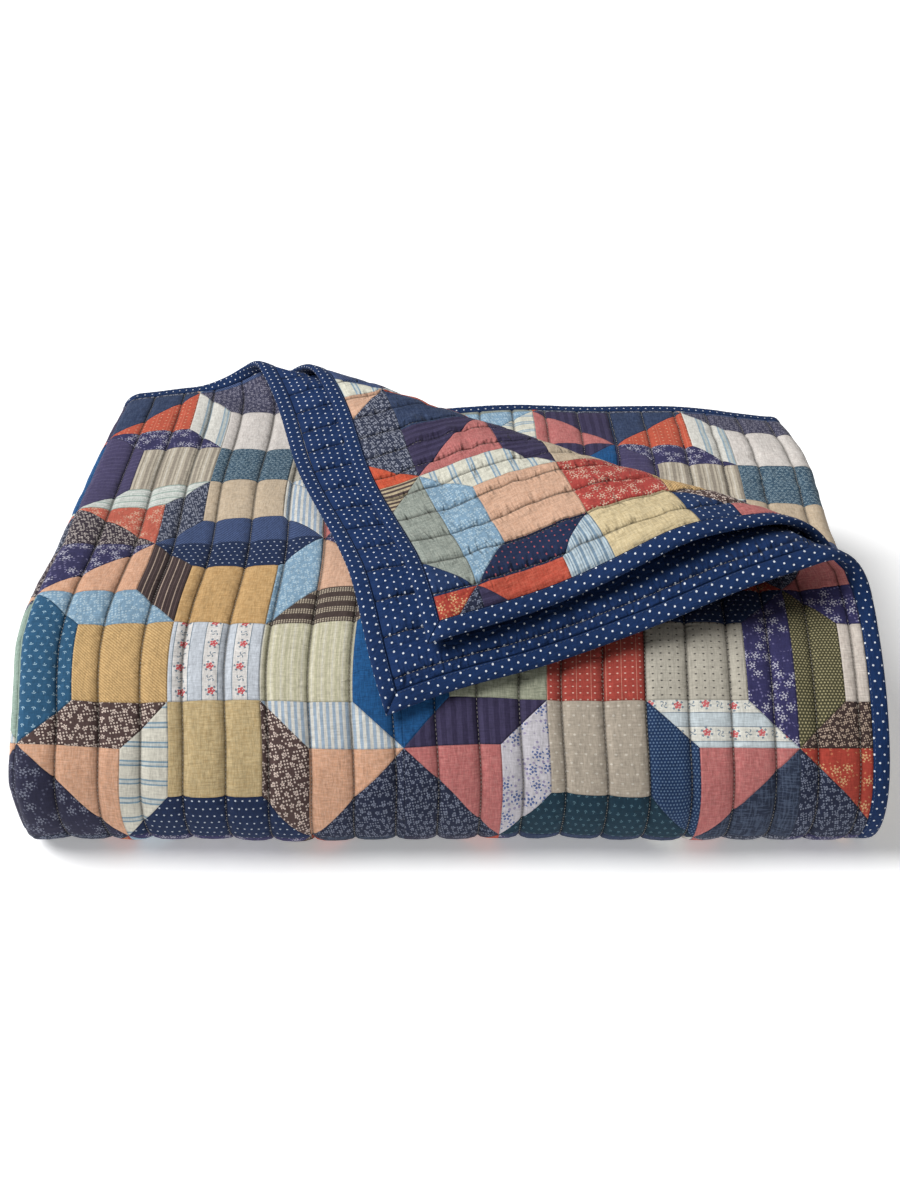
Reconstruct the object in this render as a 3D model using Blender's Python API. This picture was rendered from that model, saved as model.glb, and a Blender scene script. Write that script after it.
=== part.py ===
"""A patchwork quilt, folded to lie on a shelf or a bed, with its binding.

The quilt is one padded sheet, quilted in straight channels. It is folded in four across
its width, then in four along its length, and the back right corner of its two top layers
is turned over towards the front. Four binding strips close its edges, mitred at the
corners. Lengths are in metres, +Z is up, and the front of the folded quilt faces -Y.
"""
import math
from collections import namedtuple

import bmesh
import bpy
import numpy as np

# Driving sizes
PATCH = 0.0635                       # finished side of one square patch
PACK_WIDTH = 9.0 * PATCH             # width of the folded quilt
LAYERS = 16                          # layers in the folded quilt
LAYER_PITCH = 0.15 * PATCH           # from the middle of one layer to the next
QUILT_THICKNESS = 0.0084             # at the crown of a channel
STITCHED_THICKNESS = 0.0044          # at a quilting line
BINDING_WIDTH = 0.0110
BINDING_THICKNESS = 0.0054
BINDING_EDGE_THICKNESS = 0.0024      # at the rounded outer edge
ROUND_SHARE = 0.3                    # of the binding's width is rounded
PART_GAP = 0.0003                    # between the quilt and its binding
CHANNEL_WIDTH = 0.434 * PATCH        # between two quilting lines
FIRST_CHANNEL = 0.30 * PATCH         # the first quilting line, from the quilt's edge
CROWN_PLACES = (0.0, 0.22, 0.78)     # lines of one channel, as shares of its width
HEM_REACH = 0.028                    # the quilt thins over this distance from its binding

# Folds across the width, and what the layers' edges are set back by
LEFT_FOLD_RADIUS = 1.5 * LAYER_PITCH
TIGHT_FOLD_RADIUS = 0.5 * LAYER_PITCH
INNER_EDGE_SETBACK = 0.18 * PATCH    # the second layer's bound edge, from the top one's

# Folds along the length
TOP_LENGTH = 5.23 * PATCH
SHOULDER_RADIUS = 2.1 * PATCH
SHOULDER_TURN = 56.0
FRONT_RADIUS = 1.0 * PATCH
FRONT_TURN = 61.0
BACK_FOLD_RADIUS = 3.5 * LAYER_PITCH
INNER_FRONT_SETBACK = 1.78 * PATCH   # centre of the inner front fold, from the front
LOWEST_TOP_LENGTH = 4.95 * PATCH

# The corner that is turned over
CORNER_ANGLE = math.radians(36.6)    # of its fold line, from the quilt's front edge
CORNER_REACH = 4.81 * PATCH          # from its fold line to its point
CORNER_ROLL_RADIUS = 0.32 * PATCH    # of the top layer, in the fold
CORNER_FALL = 1.4 * PATCH            # distance over which it comes down to rest
ROLL_FACETS = 7
CHANNEL_RUN_UP = 0.5 * PATCH         # channels rise to full height over this length
REVERSE_HIDDEN = 2.2 * PATCH         # of the turned reverse, the second layer covers this
FALL_LINES = (0.3, 0.6, 0.9, 1.2, 1.6)   # edges across the flap, as shares of CORNER_FALL
SNAP = 1e-4                          # a corner this close to a cut lies on it

# How the pile has settled, as shares of its height and width
SIDE_BULGE = 0.012
TOP_SAG = 0.045                      # the top sags most at one place from front to back
SAG_PLACE = 0.10
SAG_SPREAD = 0.13
LEFT_SLOPE = 0.065                   # and slopes down towards the back left
SLOPE_BACK = (-0.10, 0.20)           # between these places, backwards
SLOPE_LEFT = (0.04, 0.26)            # and between these, to the left
BACK_CORNERS = (-0.290, 0.292)       # where the back corners are, which droop and round off
CORNER_DROOP = 0.040
CORNER_DRAW = 0.020
CORNER_SPREAD = 0.065

Section = namedtuple("Section", "name length turn facets")
Wave = namedtuple("Wave", "height turns phase")

# Slow waves of the layers from front to back, as shares of their height
WAVES = (
    Wave(height=0.006, turns=11.0, phase=0.6),
    Wave(height=0.004, turns=23.0, phase=4.0),
)


def straight(name, length, facets=1):
    return Section(name, length, 0.0, facets)


def bend(name, radius, degrees, facets):
    turn = math.radians(degrees)
    return Section(name, radius * abs(turn), turn, facets)


STACK = (LAYERS - 1) * LAYER_PITCH
PACK_HEIGHT = STACK + QUILT_THICKNESS
FRONT_END = math.radians(SHOULDER_TURN + FRONT_TURN)
SHOULDER_END = math.radians(SHOULDER_TURN)
FOOT_TURN = 180.0 - SHOULDER_TURN - FRONT_TURN
FOOT_RADIUS = (
    STACK
    - SHOULDER_RADIUS * (1.0 - math.cos(SHOULDER_END))
    - FRONT_RADIUS * (math.cos(SHOULDER_END) - math.cos(FRONT_END))
) / (1.0 + math.cos(FRONT_END))
SHOULDER_DEPTH = (SHOULDER_RADIUS - FRONT_RADIUS) * math.sin(SHOULDER_END)
FRONT_PLACE = -(TOP_LENGTH + FRONT_RADIUS + SHOULDER_DEPTH)
FOOT_PLACE = FRONT_PLACE + FRONT_RADIUS + (FOOT_RADIUS - FRONT_RADIUS) * math.sin(FRONT_END)
BACK_FOLD_PLACE = -(BACK_FOLD_RADIUS + QUILT_THICKNESS / 2)
INNER_FRONT_PLACE = FRONT_PLACE + INNER_FRONT_SETBACK
PACK_MIDDLE = (FRONT_PLACE - QUILT_THICKNESS / 2) / 2
BACK_PLACE = -PACK_MIDDLE

ACROSS = (
    straight("first layer", PACK_WIDTH - LEFT_FOLD_RADIUS),
    bend("outer left fold", LEFT_FOLD_RADIUS, 180.0, 8),
    straight("fourth layer", PACK_WIDTH - LEFT_FOLD_RADIUS - TIGHT_FOLD_RADIUS),
    bend("right fold", TIGHT_FOLD_RADIUS, 180.0, 4),
    straight("third layer", PACK_WIDTH - LEFT_FOLD_RADIUS - TIGHT_FOLD_RADIUS),
    bend("inner left fold", TIGHT_FOLD_RADIUS, -180.0, 4),
    straight("second layer", PACK_WIDTH - LEFT_FOLD_RADIUS - INNER_EDGE_SETBACK),
)
ALONG = (
    straight("top", TOP_LENGTH, 5),
    bend("shoulder", SHOULDER_RADIUS, SHOULDER_TURN, 4),
    bend("front", FRONT_RADIUS, FRONT_TURN, 4),
    bend("foot", FOOT_RADIUS, FOOT_TURN, 3),
    straight("base", BACK_FOLD_PLACE - FOOT_PLACE, 5),
    bend("back fold", BACK_FOLD_RADIUS, 180.0, 8),
    straight("middle", BACK_FOLD_PLACE - INNER_FRONT_PLACE, 4),
    bend("inner front fold", TIGHT_FOLD_RADIUS, -180.0, 4),
    straight("under the top", LOWEST_TOP_LENGTH, 4),
)
# How far the end of each layer is set back from the end of the first, at its two sides
END_SETBACKS = {
    "first layer": (0.0, 0.0),
    "fourth layer": (0.0, 0.30 * PATCH),
    "third layer": (0.30 * PATCH, 0.20 * PATCH),
    "second layer": (0.20 * PATCH, 0.20 * PATCH),
}

# The faces whose quilting shows: 1 is the patchwork of a layer, -1 its reverse
RAISED_FACES = (
    ("first layer", 1),
    ("first layer", -1),
    ("second layer", 1),
    ("third layer", 1),
)


def limits(sections):
    """Each section's name with its first and last place along the sheet."""
    places = {}
    start = 0.0
    for section in sections:
        places[section.name] = (start, start + section.length)
        start += section.length
    return places


def bend_lines(sections):
    """Every place along the sheet where the solid has an edge across it."""
    lines = []
    start = 0.0
    for section in sections:
        for facet in range(section.facets):
            lines.append(start + section.length * facet / section.facets)
        start += section.length
    return lines[1:]


ACROSS_LIMITS = limits(ACROSS)
ALONG_LIMITS = limits(ALONG)
QUILT_WIDTH = sum(section.length for section in ACROSS)
QUILT_LENGTH = sum(section.length for section in ALONG)
CORNER_SINE = math.sin(CORNER_ANGLE)
CORNER_COSINE = math.cos(CORNER_ANGLE)
SECOND_ROLL_RADIUS = CORNER_ROLL_RADIUS + LAYER_PITCH

ROLLED_LAYERS = (
    ("first layer", CORNER_ROLL_RADIUS),
    ("second layer", SECOND_ROLL_RADIUS),
)


def follow(sections, place):
    """Position and outward normal, in the plane of the folds, of places along a sheet."""
    first = np.zeros_like(place)
    second = np.zeros_like(place)
    direction = np.full_like(place, math.pi)
    start = 0.0
    corner = (0.0, 0.0)
    heading = math.pi
    for number, section in enumerate(sections):
        last = number == len(sections) - 1
        here = place >= start if number else np.full(place.shape, True)
        run = place - start
        if not last:
            run = np.minimum(run, section.length)
        end_heading = heading + section.turn
        if section.turn:
            radius = section.length / section.turn
            angle = heading + run / section.length * section.turn
            step = radius * (np.sin(angle) - math.sin(heading))
            rise = radius * (math.cos(heading) - np.cos(angle))
            full = (radius * (math.sin(end_heading) - math.sin(heading)),
                    radius * (math.cos(heading) - math.cos(end_heading)))
        else:
            angle = np.full_like(place, heading)
            step = run * math.cos(heading)
            rise = run * math.sin(heading)
            full = (section.length * math.cos(heading), section.length * math.sin(heading))
        first = np.where(here, corner[0] + step, first)
        second = np.where(here, corner[1] + rise, second)
        direction = np.where(here, angle, direction)
        corner = (corner[0] + full[0], corner[1] + full[1])
        heading = end_heading
        start += section.length
    return first, second, np.sin(direction), -np.cos(direction)


def end_setback(across, along):
    """How far a layer is drawn forwards, most at its end and not at all past the top."""
    places = []
    setbacks = []
    for name, values in END_SETBACKS.items():
        places.extend(ACROSS_LIMITS[name])
        setbacks.extend(values)
    order = np.argsort(places)
    setback = np.interp(across, np.array(places)[order], np.array(setbacks)[order])
    return setback * np.clip(1.0 - along / TOP_LENGTH, 0.0, 1.0)


def turn_corner(side, along, level, tilt, height):
    """Roll the back right corner of the two top layers over its diagonal fold line."""
    second = level < -LAYER_PITCH / 2
    radius = np.where(second, SECOND_ROLL_RADIUS, CORNER_ROLL_RADIUS)
    rest = np.where(second, 3.0 * LAYER_PITCH, LAYER_PITCH)
    past = CORNER_REACH + CORNER_SINE * side - CORNER_COSINE * along
    angle = np.clip(past / radius, 0.0, math.pi)
    beyond = np.maximum(past - math.pi * radius, 0.0)
    fall = np.exp(-(beyond / CORNER_FALL) ** 2)
    slope = (2.0 * radius - rest) * fall * 2.0 * beyond / CORNER_FALL ** 2
    slope = slope / np.sqrt(1.0 + slope ** 2)
    forward = radius * np.sin(angle) - beyond
    risen = radius * (1.0 - np.cos(angle))
    lift = np.where(beyond > 0.0, rest + (2.0 * radius - rest) * fall, risen)
    normal_forward = np.where(beyond > 0.0, slope, -np.sin(angle))
    normal_lift = np.where(beyond > 0.0, -np.sqrt(1.0 - slope ** 2), np.cos(angle))
    turned = (past > 0.0) & (np.abs(level) < 1.5 * LAYER_PITCH) & (np.abs(tilt) > 0.99)
    travel = np.where(turned, forward - past + height * tilt * normal_forward, 0.0)
    lift = np.where(turned, lift + height * tilt * (normal_lift - 1.0), 0.0)
    return side + CORNER_SINE * travel, along - CORNER_COSINE * travel, lift


def eased(place, first, last):
    """0 up to a first place, 1 from a last place on, and smooth in between."""
    share = np.clip((place - first) / (last - first), 0.0, 1.0)
    return share * share * (3.0 - 2.0 * share)


def settle(x, y, z):
    """The pile bulges at its sides, and its top sags, slopes and waves a little."""
    rise = np.clip(z / PACK_HEIGHT, 0.0, 1.0)
    swell = 1.0 + SIDE_BULGE * np.sin(math.pi * rise)
    sag = TOP_SAG * np.exp(-((y - SAG_PLACE) / SAG_SPREAD) ** 2)
    sag = sag + LEFT_SLOPE * eased(y, *SLOPE_BACK) * eased(-x, *SLOPE_LEFT)
    for place in BACK_CORNERS:
        near = np.exp(-((x - place) ** 2 + (y - BACK_PLACE) ** 2) / CORNER_SPREAD ** 2)
        sag = sag + CORNER_DROOP * near
        swell = swell - CORNER_DRAW * near * rise
    wave = np.zeros_like(x)
    for row in WAVES:
        wave += row.height * np.sin(row.turns * y + row.phase)
    return x * swell, y, z * (1.0 - sag + wave)


def quilt_points(across, along, height):
    """World places of points of the quilt.

    across and along are places on the flat quilt from its first corner, and height is
    measured from the middle of the cloth, towards the patchwork.
    """
    side, level, side_normal, tilt = follow(ACROSS, across)
    along = along + end_setback(across, along)
    turned_side, turned_along, lift = turn_corner(side, along, level, tilt, height)
    outward = level + height * tilt + lift
    back, top, back_normal, top_normal = follow(ALONG, turned_along)
    x = PACK_WIDTH / 2 + turned_side + height * side_normal
    y = back + outward * back_normal - PACK_MIDDLE
    z = STACK + QUILT_THICKNESS / 2 + top + outward * top_normal
    return np.stack(settle(x, y, z), axis=1)


def cut(mesh, place, normal, chosen=None):
    """Cut the flat sheet along a line, or only its chosen faces."""
    mesh.verts.index_update()
    mesh.edges.index_update()
    faces = [face for face in mesh.faces if chosen is None or chosen(face)]
    edges = {edge for face in faces for edge in face.edges}
    corners = {corner for face in faces for corner in face.verts}
    parts = sorted(corners, key=index_of) + sorted(edges, key=index_of) + faces
    bmesh.ops.bisect_plane(
        mesh, geom=parts, dist=SNAP, plane_co=(*place, 0.0), plane_no=(*normal, 0.0))


def index_of(item):
    return item.index


def flat_bar(low, high, thickness):
    """A flat box on the cloth's own plane, ready to be cut and folded."""
    mesh = bmesh.new()
    bmesh.ops.create_cube(mesh, size=1.0)
    for corner in mesh.verts:
        corner.co.x = low[0] + (corner.co.x + 0.5) * (high[0] - low[0])
        corner.co.y = low[1] + (corner.co.y + 0.5) * (high[1] - low[1])
        corner.co.z = corner.co.z * thickness
    return mesh


def spans(face, line):
    """Whether a face of the flat sheet reaches over a line along the quilt."""
    values = [corner.co.x for corner in face.verts]
    return min(values) < line < max(values)


def corner_lines(radius):
    """Distances past the corner's fold line where the rolled layer has an edge."""
    roll = math.pi * radius
    lines = [roll * facet / ROLL_FACETS for facet in range(ROLL_FACETS + 1)]
    lines += [roll + CORNER_FALL * share for share in FALL_LINES]
    return lines


def layer_turn(name):
    """How the corner's fold line lies on one flat layer.

    A place is reach - normal . (across, along) past the line.
    """
    setback = sum(END_SETBACKS[name]) / 2
    stretch = 1.0 - setback / TOP_LENGTH
    reach = CORNER_REACH - CORNER_COSINE * setback
    first, last = ACROSS_LIMITS[name]
    if name == "second layer":
        reach -= CORNER_SINE * (INNER_EDGE_SETBACK + last)
        return (-CORNER_SINE, CORNER_COSINE * stretch), reach
    edge = first - TIGHT_FOLD_RADIUS if name == "third layer" else 0.0
    return (CORNER_SINE, CORNER_COSINE * stretch), reach + CORNER_SINE * edge


def past_corner_line(name, across, along):
    """Distance of a place on a flat layer past the corner's fold line."""
    normal, reach = layer_turn(name)
    return reach - normal[0] * across - normal[1] * along


def cut_where(mesh, normal, value, chosen):
    """Cut the chosen faces where normal . (across, along) has a value."""
    size = normal[0] ** 2 + normal[1] ** 2
    cut(mesh, (normal[0] * value / size, normal[1] * value / size), normal, chosen)


def cut_turned_layer(mesh, name, radius):
    """Cut a top layer across its turned corner, for the roll and for the shoulder below it."""
    normal, reach = layer_turn(name)
    first, last = ACROSS_LIMITS[name]
    setback = END_SETBACKS[name][0]
    roll = math.pi * radius

    def in_layer(face):
        return first < face.calc_center_median().x < last

    def turned(face):
        middle = face.calc_center_median()
        return in_layer(face) and past_corner_line(name, middle.x, middle.y) > roll

    for line in corner_lines(radius):
        cut_where(mesh, normal, reach - line, in_layer)
    double = 2.0 * CORNER_COSINE
    across_share = double * normal[0]
    along_share = double * normal[1] - 1.0 + setback / TOP_LENGTH
    for line in shoulder_lines():
        value = setback + double * reach - CORNER_COSINE * roll - line
        cut_where(mesh, (across_share, along_share), value, turned)


def shoulder_lines():
    """The lines along the length that the turned corner lies over, from the shoulder on."""
    return [line for line in bend_lines(ALONG) if TOP_LENGTH - PATCH < line < TOP_LENGTH + 2.5 * PATCH]


def channel_lines(first, last):
    """Places across the quilt of its quilting lines and of the channels' crowns."""
    lines = []
    for number in range(int(first / CHANNEL_WIDTH) - 1, int(last / CHANNEL_WIDTH) + 1):
        for share in CROWN_PLACES:
            line = FIRST_CHANNEL + (number + share) * CHANNEL_WIDTH
            if first < line < last:
                lines.append(line)
    return lines


def cut_roll_channels(mesh, name, radius):
    """Cut a binding where the quilting meets it inside the corner's roll, so both bend alike."""
    first, last = ACROSS_LIMITS[name]
    for line in channel_lines(first, last):

        def rolled(face):
            middle = face.calc_center_median()
            past = past_corner_line(name, middle.x, middle.y)
            return spans(face, line) and 0.0 < past < math.pi * radius

        cut(mesh, (line, 0.0), (1.0, 0.0), rolled)


def in_channels(name, side, across, along):
    """How fully, from 0 to 1, the channels are raised at a place on one face of a layer."""
    if name == "first layer" and side > 0:
        inside = ALONG_LIMITS["base"][0] - along
    elif name == "first layer":
        inside = past_corner_line(name, across, along) - REVERSE_HIDDEN
    else:
        inside = past_corner_line(name, across, along) + CHANNEL_RUN_UP
    return np.clip(inside / CHANNEL_RUN_UP, 0.0, 1.0)


def build_quilt_mesh():
    """The flat quilt, cut wherever it bends and along its quilting where that shows."""
    rim = BINDING_WIDTH + PART_GAP
    mesh = flat_bar((rim, rim), (QUILT_WIDTH - rim, QUILT_LENGTH - rim), QUILT_THICKNESS)
    hem = rim + HEM_REACH
    for line in bend_lines(ALONG) + [hem, QUILT_LENGTH - hem]:
        cut(mesh, (0.0, line), (0.0, 1.0))
    for line in bend_lines(ACROSS) + [hem, QUILT_WIDTH - hem]:
        cut(mesh, (line, 0.0), (1.0, 0.0))
    for name, radius in ROLLED_LAYERS:
        cut_turned_layer(mesh, name, radius)
    for name, side in RAISED_FACES:
        first, last = ACROSS_LIMITS[name]
        for line in channel_lines(max(first, rim), min(last, QUILT_WIDTH - rim)):

            def raised(face):
                middle = face.calc_center_median()
                if face.normal.z * side < -0.5 or not spans(face, line):
                    return False
                return in_channels(name, side, middle.x, middle.y) > 0.0

            cut(mesh, (line, 0.0), (1.0, 0.0), raised)
    return mesh


def channel_thickness(across, along, upper):
    """Thickness of the quilt at each point, thin at a quilting line and at the edges."""
    raised = np.zeros_like(across)
    for name, side in RAISED_FACES:
        first, last = ACROSS_LIMITS[name]
        here = (across >= first) & (across <= last) & (upper == (side > 0))
        raised = np.where(here, in_channels(name, side, across, along), raised)
    share = (across - FIRST_CHANNEL) / CHANNEL_WIDTH % 1.0
    crown = np.clip(np.minimum(share, 1.0 - share) / CROWN_PLACES[1], 0.0, 1.0)
    thickness = QUILT_THICKNESS - (QUILT_THICKNESS - STITCHED_THICKNESS) * raised * (1.0 - crown)
    edge = np.minimum.reduce([across, along, QUILT_WIDTH - across, QUILT_LENGTH - along])
    hem = np.clip((edge - BINDING_WIDTH - PART_GAP) / HEM_REACH, 0.0, 1.0)
    return np.minimum(thickness, BINDING_THICKNESS + (QUILT_THICKNESS - BINDING_THICKNESS) * hem)


def rolled_walls(mesh):
    """The narrow side faces that twist inside the corner's roll."""
    walls = []
    for face in mesh.faces:
        middle = face.calc_center_median()
        if abs(face.normal.z) > 0.5:
            continue
        for name, radius in ROLLED_LAYERS:
            first, last = ACROSS_LIMITS[name]
            past = past_corner_line(name, middle.x, middle.y)
            if first < middle.x < last and 0.0 < past < math.pi * radius:
                walls.append(face)
    return walls


def fold(mesh, thickness_at):
    """Give each point of the flat piece its height, and put it in its folded place."""
    bmesh.ops.poke(mesh, faces=rolled_walls(mesh))
    bmesh.ops.triangulate(mesh, faces=mesh.faces[:])
    flat = np.array([corner.co[:] for corner in mesh.verts])
    side = np.sign(np.round(flat[:, 2], 6))
    height = side * thickness_at(flat[:, 0], flat[:, 1], side > 0) / 2
    for corner, place in zip(mesh.verts, quilt_points(flat[:, 0], flat[:, 1], height)):
        corner.co = place


def add_object(name, mesh, collection, material):
    data = bpy.data.meshes.new(name)
    mesh.to_mesh(data)
    mesh.free()
    data.materials.append(material)
    piece = bpy.data.objects.new(name, data)
    collection.objects.link(piece)
    return piece


def cloth_material(name, colour, roughness):
    material = bpy.data.materials.new(name)
    material.use_nodes = True
    shader = material.node_tree.nodes["Principled BSDF"]
    shader.inputs["Base Color"].default_value = (*colour, 1.0)
    shader.inputs["Roughness"].default_value = roughness
    shader.inputs["Metallic"].default_value = 0.0
    return material


def add_quilt(collection):
    mesh = build_quilt_mesh()
    fold(mesh, channel_thickness)
    cotton = cloth_material("patchwork cotton", (0.30, 0.27, 0.28), 0.85)
    add_object("quilt", mesh, collection, cotton)


def add_binding(name, runs_along, far, collection, material):
    """One binding strip, with its ends mitred, on the near or far edge of the quilt."""
    width = BINDING_WIDTH
    size = (QUILT_WIDTH, QUILT_LENGTH)
    low = [0.0, 0.0]
    high = [size[0], size[1]]
    cross = 0 if runs_along else 1
    run = 1 - cross
    low[cross] = size[cross] - width if far else 0.0
    high[cross] = size[cross] if far else width
    mesh = flat_bar(low, high, BINDING_THICKNESS)
    mitre_gap = PART_GAP * math.sqrt(2.0) / 2
    for corner in mesh.verts:
        inward = high[cross] - corner.co[cross] if far else corner.co[cross] - low[cross]
        shift = inward + mitre_gap
        near_end = corner.co[run] < size[run] / 2
        corner.co[run] += shift if near_end else -shift
    round_line = low[cross] + width * (1.0 - ROUND_SHARE if far else ROUND_SHARE)
    normal = (1.0, 0.0) if runs_along else (0.0, 1.0)
    cut(mesh, (normal[0] * round_line, normal[1] * round_line), normal)
    sections = ALONG if runs_along else ACROSS
    for line in bend_lines(sections):
        place = (0.0, line) if runs_along else (line, 0.0)
        cut(mesh, place, (normal[1], normal[0]))
    for layer, radius in ROLLED_LAYERS:
        cut_turned_layer(mesh, layer, radius)
        if not runs_along:
            cut_roll_channels(mesh, layer, radius)

    def thickness_at(across, along, upper):
        place = across if runs_along else along
        inward = size[cross] - place if far else place
        share = np.clip(inward / (ROUND_SHARE * width), 0.0, 1.0)
        return BINDING_EDGE_THICKNESS + (BINDING_THICKNESS - BINDING_EDGE_THICKNESS) * share

    fold(mesh, thickness_at)
    add_object(name, mesh, collection, material)


def main():
    for item in list(bpy.data.objects):
        bpy.data.objects.remove(item, do_unlink=True)
    collection = bpy.data.collections.new("folded quilt")
    bpy.context.scene.collection.children.link(collection)
    add_quilt(collection)
    navy = cloth_material("navy binding cotton", (0.030, 0.035, 0.075), 0.85)
    add_binding("binding_side_top", True, False, collection, navy)
    add_binding("binding_side_inner", True, True, collection, navy)
    add_binding("binding_end_top", False, False, collection, navy)
    add_binding("binding_end_inner", False, True, collection, navy)


main()
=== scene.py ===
"""Looks of the folded patchwork quilt: its cloth, prints, binding and stitches."""
import math
from collections import namedtuple

import bmesh
import bpy
import numpy as np
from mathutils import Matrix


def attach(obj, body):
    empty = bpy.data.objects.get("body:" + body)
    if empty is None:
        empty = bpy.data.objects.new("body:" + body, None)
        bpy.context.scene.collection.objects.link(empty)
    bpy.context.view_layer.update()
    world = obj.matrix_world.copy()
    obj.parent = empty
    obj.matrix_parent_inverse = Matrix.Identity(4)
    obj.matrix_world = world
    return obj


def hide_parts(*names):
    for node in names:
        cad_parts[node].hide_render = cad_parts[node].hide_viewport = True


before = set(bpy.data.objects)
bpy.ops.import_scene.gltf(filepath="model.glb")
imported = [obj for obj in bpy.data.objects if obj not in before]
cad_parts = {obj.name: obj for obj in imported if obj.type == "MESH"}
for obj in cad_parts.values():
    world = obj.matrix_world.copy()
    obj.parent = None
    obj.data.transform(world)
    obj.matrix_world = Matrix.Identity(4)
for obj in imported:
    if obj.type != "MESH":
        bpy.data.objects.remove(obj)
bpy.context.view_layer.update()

# Sizes, as in the part's source
PATCH = 0.0635
PACK_WIDTH = 9.0 * PATCH
LAYERS = 16
LAYER_PITCH = 0.15 * PATCH
QUILT_THICKNESS = 0.0084
BINDING_WIDTH = 0.0110
BINDING_THICKNESS = 0.0054
BINDING_EDGE_THICKNESS = 0.0024
ROUND_SHARE = 0.3
PART_GAP = 0.0003
CHANNEL_WIDTH = 0.434 * PATCH
FIRST_CHANNEL = 0.30 * PATCH
HEM_REACH = 0.028
LEFT_FOLD_RADIUS = 1.5 * LAYER_PITCH
TIGHT_FOLD_RADIUS = 0.5 * LAYER_PITCH
INNER_EDGE_SETBACK = 0.18 * PATCH
TOP_LENGTH = 5.23 * PATCH
SHOULDER_RADIUS = 2.1 * PATCH
SHOULDER_TURN = 56.0
FRONT_RADIUS = 1.0 * PATCH
FRONT_TURN = 61.0
BACK_FOLD_RADIUS = 3.5 * LAYER_PITCH
INNER_FRONT_SETBACK = 1.78 * PATCH
LOWEST_TOP_LENGTH = 4.95 * PATCH
CORNER_ANGLE = math.radians(36.6)
CORNER_REACH = 4.81 * PATCH
CORNER_ROLL_RADIUS = 0.32 * PATCH
CORNER_FALL = 1.4 * PATCH
SIDE_BULGE = 0.012
TOP_SAG = 0.045
SAG_PLACE = 0.10
SAG_SPREAD = 0.13
LEFT_SLOPE = 0.065
SLOPE_BACK = (-0.10, 0.20)
SLOPE_LEFT = (0.04, 0.26)
BACK_CORNERS = (-0.290, 0.292)
CORNER_DROOP = 0.040
CORNER_DRAW = 0.020
CORNER_SPREAD = 0.065
THICK_WAVES = ((0.006, 11.0, 0.6), (0.004, 23.0, 4.0))

Section = namedtuple("Section", "name length turn")


def straight(name, length):
    return Section(name, length, 0.0)


def bend(name, radius, degrees):
    turn = math.radians(degrees)
    return Section(name, radius * abs(turn), turn)


STACK = (LAYERS - 1) * LAYER_PITCH
PACK_HEIGHT = STACK + QUILT_THICKNESS
FRONT_END = math.radians(SHOULDER_TURN + FRONT_TURN)
SHOULDER_END = math.radians(SHOULDER_TURN)
FOOT_TURN = 180.0 - SHOULDER_TURN - FRONT_TURN
FOOT_RADIUS = (
    STACK
    - SHOULDER_RADIUS * (1.0 - math.cos(SHOULDER_END))
    - FRONT_RADIUS * (math.cos(SHOULDER_END) - math.cos(FRONT_END))
) / (1.0 + math.cos(FRONT_END))
SHOULDER_DEPTH = (SHOULDER_RADIUS - FRONT_RADIUS) * math.sin(SHOULDER_END)
FRONT_PLACE = -(TOP_LENGTH + FRONT_RADIUS + SHOULDER_DEPTH)
FOOT_PLACE = FRONT_PLACE + FRONT_RADIUS + (FOOT_RADIUS - FRONT_RADIUS) * math.sin(FRONT_END)
BACK_FOLD_PLACE = -(BACK_FOLD_RADIUS + QUILT_THICKNESS / 2)
INNER_FRONT_PLACE = FRONT_PLACE + INNER_FRONT_SETBACK
PACK_MIDDLE = (FRONT_PLACE - QUILT_THICKNESS / 2) / 2
BACK_PLACE = -PACK_MIDDLE

ACROSS = (
    straight("first layer", PACK_WIDTH - LEFT_FOLD_RADIUS),
    bend("outer left fold", LEFT_FOLD_RADIUS, 180.0),
    straight("fourth layer", PACK_WIDTH - LEFT_FOLD_RADIUS - TIGHT_FOLD_RADIUS),
    bend("right fold", TIGHT_FOLD_RADIUS, 180.0),
    straight("third layer", PACK_WIDTH - LEFT_FOLD_RADIUS - TIGHT_FOLD_RADIUS),
    bend("inner left fold", TIGHT_FOLD_RADIUS, -180.0),
    straight("second layer", PACK_WIDTH - LEFT_FOLD_RADIUS - INNER_EDGE_SETBACK),
)
ALONG = (
    straight("top", TOP_LENGTH),
    bend("shoulder", SHOULDER_RADIUS, SHOULDER_TURN),
    bend("front", FRONT_RADIUS, FRONT_TURN),
    bend("foot", FOOT_RADIUS, FOOT_TURN),
    straight("base", BACK_FOLD_PLACE - FOOT_PLACE),
    bend("back fold", BACK_FOLD_RADIUS, 180.0),
    straight("middle", BACK_FOLD_PLACE - INNER_FRONT_PLACE),
    bend("inner front fold", TIGHT_FOLD_RADIUS, -180.0),
    straight("under the top", LOWEST_TOP_LENGTH),
)
END_SETBACKS = {
    "first layer": (0.0, 0.0),
    "fourth layer": (0.0, 0.30 * PATCH),
    "third layer": (0.30 * PATCH, 0.20 * PATCH),
    "second layer": (0.20 * PATCH, 0.20 * PATCH),
}


def limits(sections):
    places = {}
    start = 0.0
    for section in sections:
        places[section.name] = (start, start + section.length)
        start += section.length
    return places


ACROSS_LIMITS = limits(ACROSS)
ALONG_LIMITS = limits(ALONG)
QUILT_WIDTH = sum(section.length for section in ACROSS)
QUILT_LENGTH = sum(section.length for section in ALONG)
CORNER_SINE = math.sin(CORNER_ANGLE)
CORNER_COSINE = math.cos(CORNER_ANGLE)


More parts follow.
